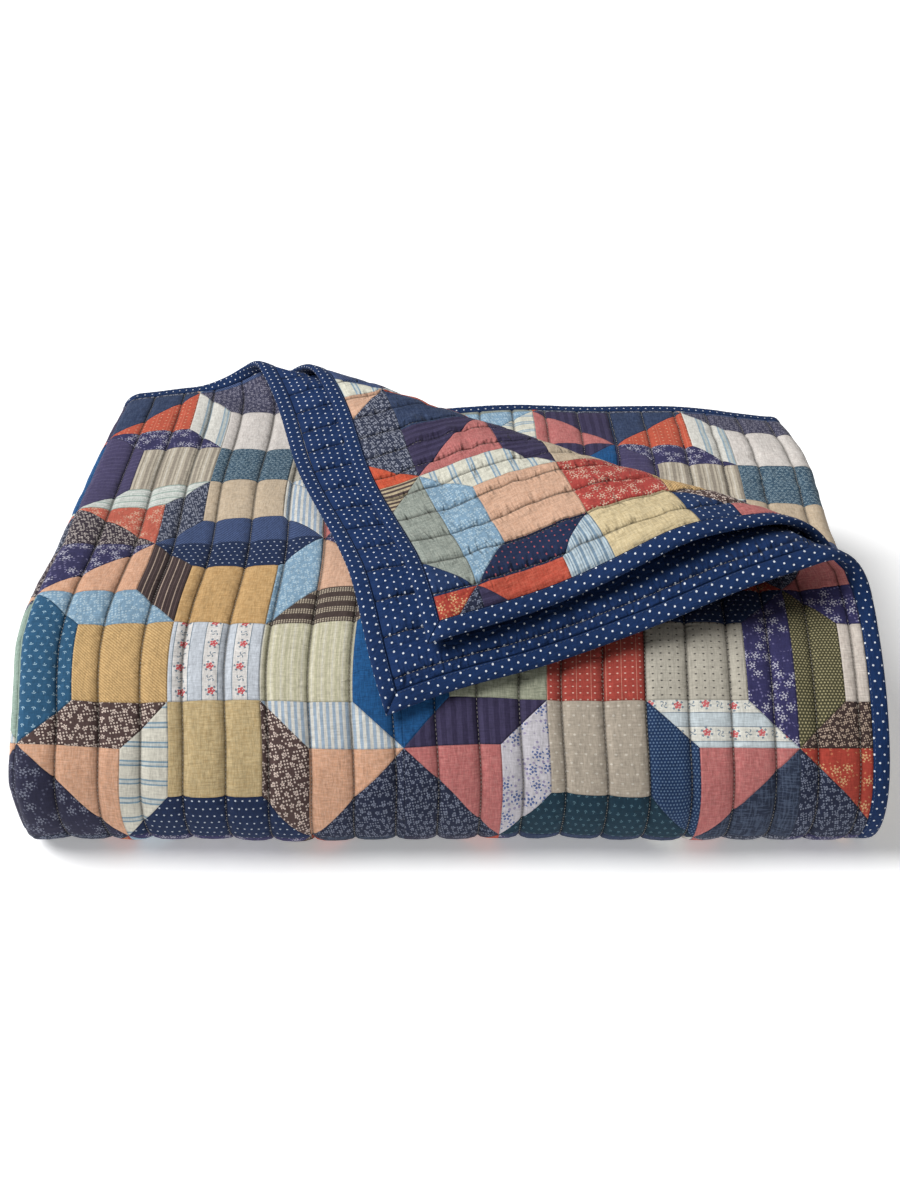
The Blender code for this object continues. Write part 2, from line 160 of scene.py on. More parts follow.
# How the flat quilt is folded
def follow(sections, place):
    """Position and outward normal, in the plane of the folds, of places along a sheet."""
    first = np.zeros_like(place)
    second = np.zeros_like(place)
    direction = np.full_like(place, math.pi)
    start = 0.0
    corner = (0.0, 0.0)
    heading = math.pi
    for number, section in enumerate(sections):
        last = number == len(sections) - 1
        here = place >= start if number else np.full(place.shape, True)
        run = place - start
        if not last:
            run = np.minimum(run, section.length)
        end_heading = heading + section.turn
        if section.turn:
            radius = section.length / section.turn
            angle = heading + run / section.length * section.turn
            step = radius * (np.sin(angle) - math.sin(heading))
            rise = radius * (math.cos(heading) - np.cos(angle))
            full = (radius * (math.sin(end_heading) - math.sin(heading)),
                    radius * (math.cos(heading) - math.cos(end_heading)))
        else:
            angle = np.full_like(place, heading)
            step = run * math.cos(heading)
            rise = run * math.sin(heading)
            full = (section.length * math.cos(heading), section.length * math.sin(heading))
        first = np.where(here, corner[0] + step, first)
        second = np.where(here, corner[1] + rise, second)
        direction = np.where(here, angle, direction)
        corner = (corner[0] + full[0], corner[1] + full[1])
        heading = end_heading
        start += section.length
    return first, second, np.sin(direction), -np.cos(direction)


def end_setback(across, along):
    """How far a layer is drawn forwards, most at its end and not at all past the top."""
    places = []
    setbacks = []
    for name, values in END_SETBACKS.items():
        places.extend(ACROSS_LIMITS[name])
        setbacks.extend(values)
    order = np.argsort(places)
    setback = np.interp(across, np.array(places)[order], np.array(setbacks)[order])
    return setback * np.clip(1.0 - along / TOP_LENGTH, 0.0, 1.0)


def past_corner_line(across, along):
    """Distance of a place on the quilt past the fold line of the turned corner."""
    side = follow(ACROSS, across)[0]
    along = along + end_setback(across, along)
    return CORNER_REACH + CORNER_SINE * side - CORNER_COSINE * along


def turn_corner(side, along, level, tilt, height):
    """Roll the back right corner of the two top layers over its diagonal fold line."""
    second = level < -LAYER_PITCH / 2
    radius = np.where(second, CORNER_ROLL_RADIUS + LAYER_PITCH, CORNER_ROLL_RADIUS)
    rest = np.where(second, 3.0 * LAYER_PITCH, LAYER_PITCH)
    past = CORNER_REACH + CORNER_SINE * side - CORNER_COSINE * along
    angle = np.clip(past / radius, 0.0, math.pi)
    beyond = np.maximum(past - math.pi * radius, 0.0)
    fall = np.exp(-(beyond / CORNER_FALL) ** 2)
    slope = (2.0 * radius - rest) * fall * 2.0 * beyond / CORNER_FALL ** 2
    slope = slope / np.sqrt(1.0 + slope ** 2)
    forward = radius * np.sin(angle) - beyond
    risen = radius * (1.0 - np.cos(angle))
    lift = np.where(beyond > 0.0, rest + (2.0 * radius - rest) * fall, risen)
    normal_forward = np.where(beyond > 0.0, slope, -np.sin(angle))
    normal_lift = np.where(beyond > 0.0, -np.sqrt(1.0 - slope ** 2), np.cos(angle))
    turned = (past > 0.0) & (np.abs(level) < 1.5 * LAYER_PITCH) & (np.abs(tilt) > 0.99)
    travel = np.where(turned, forward - past + height * tilt * normal_forward, 0.0)
    lift = np.where(turned, lift + height * tilt * (normal_lift - 1.0), 0.0)
    return side + CORNER_SINE * travel, along - CORNER_COSINE * travel, lift


def eased(place, first, last):
    """0 up to a first place, 1 from a last place on, and smooth in between."""
    share = np.clip((place - first) / (last - first), 0.0, 1.0)
    return share * share * (3.0 - 2.0 * share)


def settle(x, y, z):
    """The pile bulges at its sides, and its top sags, slopes and waves a little."""
    rise = np.clip(z / PACK_HEIGHT, 0.0, 1.0)
    swell = 1.0 + SIDE_BULGE * np.sin(math.pi * rise)
    sag = TOP_SAG * np.exp(-((y - SAG_PLACE) / SAG_SPREAD) ** 2)
    sag = sag + LEFT_SLOPE * eased(y, *SLOPE_BACK) * eased(-x, *SLOPE_LEFT)
    for place in BACK_CORNERS:
        near = np.exp(-((x - place) ** 2 + (y - BACK_PLACE) ** 2) / CORNER_SPREAD ** 2)
        sag = sag + CORNER_DROOP * near
        swell = swell - CORNER_DRAW * near * rise
    wave = np.zeros_like(x)
    for height, turns, phase in THICK_WAVES:
        wave += height * np.sin(turns * y + phase)
    return x * swell, y, z * (1.0 - sag + wave)


# What the pile does beyond its solids, in metres and shares, and the places where it does it
EDGE_LIFT = 0.0090                   # the upper turned layer's edge stands off by this
LIFT_REACH = 0.036
LIFT_FREE = (1.0 * PATCH, 2.4 * PATCH)
LIFT_RISES = (0.04, 0.20)
CORNER_SINK = 0.018                  # the back corners round off by this share more
SINK_REACH = 0.034
BACK_SAG = 0.0030                    # the back edge hangs by this between its corners
BACK_SAG_PLACE = 0.06
BACK_SAG_SPREAD = 0.13
BACK_SAG_DEPTH = (0.13, 0.21)
FOOT_WIDENING = 0.006                # the left fold spreads by this where it stands
FOOT_FLATTENING = 0.5
FOOT_RISE = 0.022
FOOT_FRONT = (0.14, 0.20)
FOOT_LEFT = (0.262, 0.290)

# Slow unevenness of the whole pile: how far it moves each way, and its waves per metre
Wave = namedtuple("Wave", "moves along_x along_y along_z phase")
UNEVENNESS = (
    Wave((0.0016, 0.0, 0.0), 4.0, 31.0, 26.0, 0.4),
    Wave((0.0010, 0.0, 0.0), 9.0, 17.0, 55.0, 2.2),
    Wave((0.0, 0.0018, 0.0), 23.0, 3.0, 24.0, 1.1),
    Wave((0.0, 0.0011, 0.0), 47.0, 8.0, 41.0, 5.0),
    Wave((0.0, 0.0, 0.0022), 19.0, 13.0, 0.0, 3.3),
    Wave((0.0, 0.0, 0.0013), 37.0, 29.0, 0.0, 0.2),
)


def loosen(points):
    """Small slow shifts of the whole pile, its back edge and its left foot, above the floor."""
    x, y, z = points.T
    rise = np.clip(z / PACK_HEIGHT, 0.0, 1.1)
    shift = np.zeros_like(points)
    for wave in UNEVENNESS:
        swing = np.sin(wave.along_x * x + wave.along_y * y + wave.along_z * z + wave.phase)
        shift += np.outer(swing * np.sqrt(rise), wave.moves)
    for place in BACK_CORNERS:
        near = np.exp(-((x - place) ** 2 + (y - BACK_PLACE) ** 2) / SINK_REACH ** 2)
        shift[:, 2] -= CORNER_SINK * near * z
    hanging = np.exp(-((x - BACK_SAG_PLACE) / BACK_SAG_SPREAD) ** 2) * eased(y, *BACK_SAG_DEPTH)
    shift[:, 2] -= BACK_SAG * hanging * rise
    foot = np.exp(-(z / FOOT_RISE) ** 2) * eased(-y, *FOOT_FRONT) * eased(-x, *FOOT_LEFT)
    shift[:, 0] -= FOOT_WIDENING * foot
    shift[:, 2] -= FOOT_FLATTENING * foot * z
    moved = points + shift
    moved[:, 2] = np.maximum(moved[:, 2], 0.0)
    return moved


def edge_lift(across, along):
    """How far the upper turned layer's bound edge stands off the layer beneath it."""
    from_edge = QUILT_WIDTH - across
    past = past_corner_line(across, along)
    swing = 0.3 + 0.7 * eased(along, *LIFT_RISES) + 0.12 * np.sin(along * 45.0)
    free = eased(past, *LIFT_FREE)
    return EDGE_LIFT * swing * free * np.exp(-(from_edge / LIFT_REACH) ** 2)


def quilt_points(across, along, height):
    """World places of points of the quilt, from flat places and heights over its middle."""
    side, level, side_normal, tilt = follow(ACROSS, across)
    raised = edge_lift(across, along)
    along = along + end_setback(across, along)
    turned_side, turned_along, lift = turn_corner(side, along, level, tilt, height)
    outward = level + height * tilt + lift + raised
    back, top, back_normal, top_normal = follow(ALONG, turned_along)
    x = PACK_WIDTH / 2 + turned_side + height * side_normal
    y = back + outward * back_normal - PACK_MIDDLE
    z = STACK + QUILT_THICKNESS / 2 + top + outward * top_normal
    return loosen(np.stack(settle(x, y, z), axis=1))


# Relief of the quilted cloth
SEWN_DEPTH_THICKNESS = 0.0022        # the thread draws the cloth down to this
PUCKER_HEIGHT = 0.00065
TURNED_PUCKER_HEIGHT = 0.00260       # the turned corner is drawn up more
PUCKER_REACH = 0.0090
PUCKER_LENGTH = 0.0085
RUMPLE_HEIGHT = 0.00055
RUMPLE_SIZE = 0.026
PUFF_SHARPNESS = 2.6
PUFF_FULLNESS = 0.58
QUILT_RIM = BINDING_WIDTH + PART_GAP
HEM_THICKNESS = 0.0046
HEM_FULLNESS = 0.6


def uneven(first, second, seed):
    """Smooth noise from -1 to 1 on a grid of unit cells."""
    table = np.random.default_rng(seed).uniform(-1.0, 1.0, (256, 256))
    column = np.floor(first).astype(int)
    row = np.floor(second).astype(int)
    u = first - column
    v = second - row
    u = u * u * (3.0 - 2.0 * u)
    v = v * v * (3.0 - 2.0 * v)
    near = table[column % 256, row % 256] * (1 - u) + table[(column + 1) % 256, row % 256] * u
    far = (table[column % 256, (row + 1) % 256] * (1 - u)
           + table[(column + 1) % 256, (row + 1) % 256] * u)
    return near * (1 - v) + far * v


def half_thickness(across, along, side):
    """Height of the cloth's surface over its middle: puffed channels, puckers and a thin hem."""
    share = (across - FIRST_CHANNEL) / CHANNEL_WIDTH
    line = np.round(share)
    share = share % 1.0
    puff = 1.0 - np.abs(2.0 * share - 1.0) ** PUFF_SHARPNESS
    puff = np.clip(puff, 0.0, 1.0) ** PUFF_FULLNESS
    thickness = SEWN_DEPTH_THICKNESS + (QUILT_THICKNESS - SEWN_DEPTH_THICKNESS) * puff
    edge = np.minimum.reduce([across, along, QUILT_WIDTH - across, QUILT_LENGTH - along])
    hem = np.clip((edge - QUILT_RIM) / HEM_REACH, 0.0, 1.0) ** HEM_FULLNESS
    thickness = np.minimum(thickness, HEM_THICKNESS + (QUILT_THICKNESS - HEM_THICKNESS) * hem)
    distance = np.minimum(share, 1.0 - share) * CHANNEL_WIDTH
    ripple = uneven(along / PUCKER_LENGTH, line + 0.5, 3 if side > 0 else 4)
    turned = np.clip(past_corner_line(across, along) / PATCH, 0.0, 1.0)
    pucker = PUCKER_HEIGHT + (TURNED_PUCKER_HEIGHT - PUCKER_HEIGHT) * turned
    pucker = pucker * ripple * np.exp(-distance / PUCKER_REACH)
    rumple = RUMPLE_HEIGHT * uneven(across / RUMPLE_SIZE, along / RUMPLE_SIZE, 5 if side > 0 else 6)
    return thickness / 2 + (pucker + rumple * puff) * hem


# The quilt's mesh
CHANNEL_SHARES = (0.0, 0.07, 0.24, 0.5, 0.76, 0.93)
HIDDEN_SHARES = (0.0, 0.5)
FINE_STEP = 0.0050
COARSE_STEP = 0.026
ARC_STEP = math.radians(11.0)
ROW_GAP = 0.002                      # rows and columns closer than these are one
COLUMN_GAP = 0.0010
FRONT_SEEN = ALONG_LIMITS["base"][0] + 0.02
CORNER_MARGIN = 0.012
REVERSE_SHOWN = 1.6 * PATCH          # the reverse shows this far past the corner's fold line
HIDDEN_STRIDE = 4
SAME_PLACE = 1e-9


def spaced(places, least):
    """Ordered places without those that follow the one before too closely."""
    kept = [places[0]]
    for place in places[1:]:
        if place - kept[-1] > least:
            kept.append(place)
    kept[-1] = places[-1]
    return np.array(kept)


def row_places():
    """Every place along the quilt that its mesh may have a row of points."""
    rows = list(np.arange(QUILT_RIM, FRONT_SEEN, FINE_STEP))
    for section in ALONG:
        first, last = ALONG_LIMITS[section.name]
        step = abs(section.turn) / ARC_STEP if section.turn else section.length / COARSE_STEP
        rows += [p for p in np.linspace(first, last, max(2, round(step) + 1)) if p > FRONT_SEEN]
    return spaced(sorted(rows) + [QUILT_LENGTH - QUILT_RIM], ROW_GAP)


def column_places(side):
    """Every place across the quilt that one face of its mesh has a column of points."""
    columns = [QUILT_RIM, QUILT_WIDTH - QUILT_RIM]
    for section in ACROSS:
        first, last = ACROSS_LIMITS[section.name]
        seen = section.name != "fourth layer" if side > 0 else section.name == "first layer"
        shares = CHANNEL_SHARES if seen else HIDDEN_SHARES
        for channel in range(int(first / CHANNEL_WIDTH) - 1, int(last / CHANNEL_WIDTH) + 1):
            columns += [FIRST_CHANNEL + (channel + share) * CHANNEL_WIDTH for share in shares
                        if first < FIRST_CHANNEL + (channel + share) * CHANNEL_WIDTH <= last]
        if section.turn:
            columns += list(np.linspace(first, last, round(abs(section.turn) / ARC_STEP) // 2 + 2))
    columns = [c for c in columns if QUILT_RIM <= c <= QUILT_WIDTH - QUILT_RIM]
    return spaced(sorted(columns), COLUMN_GAP)


def rows_shown(across, rows, side):
    """Which rows a column has: all where it shows, and every fourth where it is hidden."""
    name = next(s.name for s in ACROSS if across <= ACROSS_LIMITS[s.name][1] + SAME_PLACE
                or s is ACROSS[-1])
    past = past_corner_line(np.full_like(rows, across), rows)
    fine = np.zeros(rows.shape, bool)
    if side > 0:
        if name == "first layer":
            fine = past < CORNER_MARGIN
        elif name == "outer left fold":
            fine = rows < FRONT_SEEN
        elif name in ("third layer", "second layer"):
            fine = past > -CORNER_MARGIN
    elif name == "first layer":
        fine = past > REVERSE_SHOWN
    if name == "right fold":
        fine = past > -CORNER_MARGIN
    keep = fine | (rows > FRONT_SEEN)
    keep[::HIDDEN_STRIDE] = True
    keep[[0, -1]] = True
    return keep


def zip_strip(first, first_places, second, second_places):
    """Faces between two rows of points, each in order along its line."""
    faces = []
    i = j = 0
    while i < len(first) - 1 or j < len(second) - 1:
        ahead = first_places[i + 1] if i < len(first) - 1 else math.inf
        other = second_places[j + 1] if j < len(second) - 1 else math.inf
        if abs(ahead - other) < SAME_PLACE:
            faces.append((first[i], second[j], second[j + 1], first[i + 1]))
            i += 1
            j += 1
        elif ahead < other:
            faces.append((first[i], second[j], first[i + 1]))
            i += 1
        else:
            faces.append((first[i], second[j], second[j + 1]))
            j += 1
    return faces


def quilt_mesh():
    """The whole quilt as one closed mesh: its patchwork face, its reverse and its rim."""
    rows = row_places()
    places = []
    columns = {}
    count = 0
    for side in (1, -1):
        columns[side] = []
        for across in column_places(side):
            keep = rows_shown(across, rows, side)
            if across in (QUILT_RIM, QUILT_WIDTH - QUILT_RIM):
                keep |= rows_shown(across, rows, -side)
            along = rows[keep]
            ids = list(range(count, count + len(along)))
            count += len(along)
            places.append((np.full_like(along, across), along, np.full_like(along, side)))
            columns[side].append((across, ids, along))
    across, along, side = (np.concatenate(part) for part in zip(*places))
    height = np.where(
        side > 0, half_thickness(across, along, 1), -half_thickness(across, along, -1))
    points = quilt_points(across, along, height)
    faces = []

    def add_strip(strip, flipped):
        faces.extend(face[::-1] if flipped else face for face in strip)

    for key in (1, -1):
        for (_, ids, along_a), (_, others, along_b) in zip(columns[key], columns[key][1:]):
            add_strip(zip_strip(ids, along_a, others, along_b), key < 0)
        if key > 0:
            reverse_from = len(faces)
    for end in (0, -1):
        (_, ids, along_a), (_, others, along_b) = columns[1][end], columns[-1][end]
        add_strip(zip_strip(others, along_b, ids, along_a), end < 0)
        tops, lows = ([column[1][end] for column in columns[key]] for key in (1, -1))
        top_places, low_places = ([column[0] for column in columns[key]] for key in (1, -1))
        add_strip(zip_strip(tops, top_places, lows, low_places), end < 0)
    mesh = bpy.data.meshes.new("quilt cloth")
    mesh.from_pydata(points.tolist(), [], faces)
    mesh.polygons.foreach_set("use_smooth", [True] * len(faces))
    mesh.polygons.foreach_set("material_index", [int(k >= reverse_from) for k in range(len(faces))])
    write_cloth_places(mesh, across, along, side > 0)
    mesh.validate()
    return outward(mesh)


def outward(mesh):
    """Turn a closed mesh the right way round, if its faces point inwards."""
    work = bmesh.new()
    work.from_mesh(mesh)
    if work.calc_volume(signed=True) < 0.0:
        bmesh.ops.reverse_faces(work, faces=work.faces[:])
        work.to_mesh(mesh)
    work.free()
    return mesh


# Where the patchwork lies, in patches, and how far its columns and rows stray from a
# straight grid to lie as they do in the photo
PATCH_PLACE = (8.93, 7.25)           # patch columns and rows at the quilt's first corner
DRIFT_PLACES = (1.5, 3.0, 5.5, 6.4, 7.3, 8.4, 9.0, 18.0, 23.0, 28.0)
COLUMN_DRIFT = (0.0, -0.06, -0.05, -0.01, 0.04, 0.05, 0.0, 0.2, 0.2, 0.43)
ROW_DRIFT = (0.0, 0.0, 0.0, 0.0, 0.0, 0.0, 0.0, 0.0, 0.0, 0.42)
TOP_PLACES = (0.0, 0.6, 1.1, 2.0, 2.9, 3.8, 5.0, 5.9, 6.7, 7.7, 8.4)  # along top and front
TOP_DRIFT = (-0.10, 0.12, 0.28, 0.25, 0.13, 0.09, 0.15, 0.12, 0.0, -0.04, 0.12)
TOP_DRIFT_ENDS = (9.2, 13.2)         # it fades out over these places across
BACK_LEFT_ACROSS = (6.6, 8.2)
BACK_LEFT_ALONG = (1.6, 3.0)
BACK_LEFT_STEADIER = 0.55            # it is this share less at the back left


def write_cloth_places(mesh, across, along, pieced):
    """Each point's place on the flat cloth, in patches, for the prints and the weave."""
    places = across / PATCH
    on_top = np.where(pieced, 1.0 - np.interp(places, TOP_DRIFT_ENDS, (0.0, 1.0)), 0.0)
    column = PATCH_PLACE[0] - places - np.interp(places, DRIFT_PLACES, COLUMN_DRIFT)
    row = PATCH_PLACE[1] - along / PATCH + np.interp(places, DRIFT_PLACES, ROW_DRIFT)
    drift = np.interp(along / PATCH, TOP_PLACES, TOP_DRIFT)
    at_left = eased(places, *BACK_LEFT_ACROSS) * (1.0 - eased(along / PATCH, *BACK_LEFT_ALONG))
    row = row + on_top * drift * (1.0 - BACK_LEFT_STEADIER * at_left)
    line = (across - FIRST_CHANNEL) / CHANNEL_WIDTH
    attribute = mesh.attributes.new("cloth", "FLOAT_VECTOR", "POINT")
    attribute.data.foreach_set("vector", np.stack([column, row, line], axis=1).ravel())


class Amount:
    """A number in a material: sums written with it become Math nodes."""

    def __init__(self, tree, socket):
        self.tree = tree
        self.socket = socket

    def math(self, operation, *others):
        node = self.tree.nodes.new("ShaderNodeMath")
        node.operation = operation
        for place, value in enumerate((self, *others)):
            fill(self.tree, node.inputs[place], value)
        return Amount(self.tree, node.outputs[0])

    def __add__(self, other):
        return self.math("ADD", other)

    def __sub__(self, other):
        return self.math("SUBTRACT", other)

    def __mul__(self, other):
        return self.math("MULTIPLY", other)

    def __truediv__(self, other):
        return self.math("DIVIDE", other)

    def __mod__(self, other):
        return self.math("FLOORED_MODULO", other)

    def __lt__(self, other):
        return self.math("LESS_THAN", other)

    def __gt__(self, other):
        return self.math("GREATER_THAN", other)

    def __abs__(self):
        return self.math("ABSOLUTE")

    def __radd__(self, other):
        return self.math("ADD", other)

    def __rmul__(self, other):
        return self.math("MULTIPLY", other)

    def __rsub__(self, other):
        node = self.tree.nodes.new("ShaderNodeMath")
        node.operation = "SUBTRACT"
        fill(self.tree, node.inputs[0], other)
        fill(self.tree, node.inputs[1], self)
        return Amount(self.tree, node.outputs[0])

    def floor(self):
        return self.math("FLOOR")

    def lower(self, other):
        return self.math("MINIMUM", other)

    def higher(self, other):
        return self.math("MAXIMUM", other)

    def near(self, value, reach):
        """1 where this is within reach of a value, else 0."""
        return self.math("COMPARE", value, reach)

    def fading(self, reach):
        """1 at 0, falling smoothly away over the reach."""
        return (self * self * (-1.0 / reach ** 2)).math("EXPONENT")


def fill(tree, socket, value):
    """Link a socket to what feeds it, or set its own value."""
    if isinstance(value, Amount):
        value = value.socket
    if isinstance(value, bpy.types.NodeSocket):
        tree.links.new(value, socket)
    else:
        socket.default_value = value


def linear(colour):
    """A colour written as on a screen, from 0 to 255, as the renderer counts it."""
    shares = [part / 255.0 for part in colour]
    return tuple(s / 12.92 if s <= 0.04045 else ((s + 0.055) / 1.055) ** 2.4 for s in shares)


SPECULAR = 0.15                      # cotton hardly shines, and the floor is as dull
SHEEN_ROUGHNESS = 0.5
RAMP_LENGTH = 32                     # one colour ramp holds this many colours
TABLE_LENGTH = 2 * RAMP_LENGTH


class Finish:
    """One material and its nodes."""

    def __init__(self, name, roughness, sheen):
        self.material = bpy.data.materials.new(name)
        self.material.use_nodes = True
        self.tree = self.material.node_tree
        self.shader = self.tree.nodes["Principled BSDF"]
        self.set("Roughness", roughness)
        self.set("Specular IOR Level", SPECULAR)
        self.set("Sheen Weight", sheen)
        self.set("Sheen Roughness", SHEEN_ROUGHNESS)

    def set(self, socket, value):
        fill(self.tree, self.shader.inputs[socket], value)

    def node(self, kind, settings=None, inputs=None):
        node = self.tree.nodes.new("ShaderNode" + kind)
        for name, value in (settings or {}).items():
            setattr(node, name, value)
        for name, value in (inputs or {}).items():
            fill(self.tree, node.inputs[name], value)
        return node

    def amount(self, node, output=0):
        return Amount(self.tree, node.outputs[output])

    def parts(self, vector):
        split = self.node("SeparateXYZ", inputs={0: vector})
        return [self.amount(split, place) for place in range(3)]

    def joined(self, x, y, z=0.0):
        return self.node("CombineXYZ", inputs={0: x, 1: y, 2: z}).outputs[0]

    def noise(self, vector, scale, detail=2.0, roughness=0.5):
        return self.amount(self.node("TexNoise", inputs={
            "Vector": vector, "Scale": scale, "Detail": detail, "Roughness": roughness}))

    def chance(self, vector):
        """A random number for each whole place, and three more as a vector."""
        node = self.node("TexWhiteNoise", inputs={"Vector": vector})
        return self.amount(node, 0), node.outputs["Color"]

    def mixed(self, share, first, second, blend="MIX"):
        node = self.node("Mix", {"data_type": "RGBA", "blend_type": blend},
                         {0: share, 6: first, 7: second})
        return node.outputs[2]

    def steps(self, place, rows):
        """A row of up to 32 colours, looked up by a whole number."""
        node = self.node("ValToRGB", inputs={0: (place + 0.5) / RAMP_LENGTH})
        ramp = node.color_ramp
        ramp.interpolation = "CONSTANT"
        for number, row in enumerate(rows):
            start = number / RAMP_LENGTH
            stop = ramp.elements[number] if number < 2 else ramp.elements.new(start)
            stop.position = start
            stop.color = (*row, 1.0)
        return node.outputs[0]

    def long_steps(self, place, rows):
        """A table of up to 64 colours, looked up by a whole number."""
        near = self.steps(place, rows[:RAMP_LENGTH])
        far = self.steps(place - RAMP_LENGTH, rows[RAMP_LENGTH:])
        return self.mixed(place > RAMP_LENGTH - 0.5, near, far)


